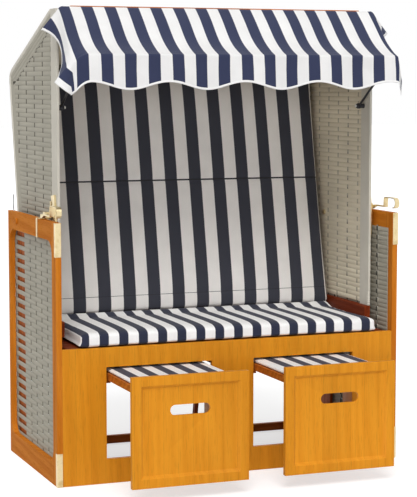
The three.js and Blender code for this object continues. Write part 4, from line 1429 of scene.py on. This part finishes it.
def canopy_point(u, v):
    """Where the cloth hangs, and how far across it and from its hem the point lies."""
    side = -1 if u < 0 else 1
    reach = abs(u)
    top = min(v / canopy_top_share, 1.0)
    half = canopy_rails[side] + (canopy_bow_ends[side] - canopy_rails[side]) * top
    s = min(reach / (1 - canopy_flap_share), 1.0) * half
    flap = flap_drop + 0.040 * (1 - top) ** 3 + 0.034 * top ** 4
    valance = valance_drop - scallop_depth * math.cos(2 * math.pi * s / scallop_pitch)
    past_side = max(reach - (1 - canopy_flap_share), 0) / canopy_flap_share * flap
    past_front = max(v - canopy_top_share, 0) / (1 - canopy_top_share) * valance
    past = math.hypot(past_side, past_front)
    if side < 0:
        past = max(past_side, past_front) + 0.15 * min(past_side, past_front)
    y, z = along_line(canopy_line, top)
    corner = held((s - half + 0.06) / 0.06)
    y -= 0.009 * (1 - top) ** 4 * corner * corner * (3 - 2 * corner)
    across = side * (s + past_side)
    hem = min(flap - past_side if reach > 0.5 else 1.0, valance - past_front)
    x = side * s
    if side < 0:
        z -= 0.02 * top ** 6 * max((s - 0.5) / 0.048, 0.0) ** 2
    if past > 0:
        front_share = past_front / past
        side_flare = 8 + 32 * (1 - top) ** 4 + canopy_front_flares[side] * top ** 3
        flare = math.radians(side_flare + (4 - side_flare) * front_share)
        rounded = min(past / fold_radius, 1) * (math.pi / 2 - flare)
        reach_round = fold_radius / (math.pi / 2 - flare)
        straight = max(past - fold_radius, 0)
        outward = reach_round * math.sin(rounded) + straight * math.sin(flare)
        drop = reach_round * (1 - math.cos(rounded)) + straight * math.cos(flare)
        ripple = valance_ripple * math.sin(across * 25 + 0.6) * min(past_front / 0.05, 1)
        x += side * outward * past_side / past
        y -= outward * front_share + ripple
        z -= drop
    else:
        slack = math.sin(math.pi * min(top * 1.08, 1))
        z -= cloth_slack * slack * (1 + 0.5 * math.sin(across * 17 + top * 3))
    return Vector((x, y, z)), across, hem


canopy_columns = 220
canopy_rows = 96
canopy_thick = 0.0011
work = bmesh.new()
across_layer = work.verts.layers.float.new("across")
hem_layer = work.verts.layers.float.new("hem")
grid = []
for j in range(canopy_rows + 1):
    line = []
    for i in range(canopy_columns + 1):
        place, across, hem = canopy_point(2 * i / canopy_columns - 1, j / canopy_rows)
        corner = work.verts.new(place)
        corner[across_layer] = across
        corner[hem_layer] = hem
        line.append(corner)
    grid.append(line)
for above, below in zip(grid, grid[1:]):
    for i in range(canopy_columns):
        work.faces.new((above[i], below[i], below[i + 1], above[i + 1]))
work.normal_update()
bmesh.ops.solidify(work, geom=work.faces[:], thickness=canopy_thick)
bmesh.ops.recalc_face_normals(work, faces=work.faces)
canopy_canvas = canvas("canopy canvas", 0.0765, 0.5, 0.0078, "across", navy=paint(52, 58, 86),
                       white=paint(238, 237, 236))
canopy_tree = canopy_canvas["tree"]
hem_band = between(canopy_tree, marked(canopy_tree, "hem"), 0.0065, 0.0075, 1.0, 0.0)
hemmed = mix(canopy_tree, hem_band, canopy_canvas["cloth"], canvas_white)
feed(canopy_tree, canopy_canvas["shader"], {"Base Color": hemmed})
canopy = set_out("canopy_canvas", mesh_of("canopy_canvas", work, canopy_canvas["material"]))
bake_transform(canopy)
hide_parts("canopy_cloth")

# The batten that holds the cloth's rear edge down on the top rail.
batten = set_out("clamping_batten", foam_block(
    0.5, base_front + 0.1195, base_front + 0.134, 1.4908, 1.4985, 0.0016, 2))
batten.data.materials.append(side_across)
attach(batten, "hood")

# FOOTRESTS
# Two pull-out footrests: a framed front of staves with a hand slot, side rails with shoes
# that run in the channels, cross rails, a thin board, and a striped pad on it.
pad_canvas = canvas("footrest canvas", 0.065, 0.5, 0.0, white_ends=True)
for side, sign in sides:
    body = "footrest_" + side
    planed("footrest_front_" + side, 0.0018, front_timber["material"])
    planed("footrest_frame_" + side, 0.0012, side_across)
    planed("footrest_board_" + side, 0.0010, side_across)
    low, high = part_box("footrest_pad_" + side)
    middle = (low.x + high.x) / 2
    pad_half = (high.x - low.x) / 2
    edge = 0.0015
    pad = stuffed("footrest_pad_cover_" + side, foam_block(
        pad_half - edge, low.y + edge, high.y - edge, low.z, high.z - 0.003, 0.006, 3),
        0.004, 3.0, 0.002)
    pad_shape = soft_form(pad_half, low.y, high.y, low.z, high.z, 0.0015, 0.0015, ())
    finish_cushion(pad, pad_canvas["material"],
                   lambda p: pad_shape(p) + Vector((middle, 0, 0)), False)
    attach(pad, body)
    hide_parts("footrest_pad_" + side)
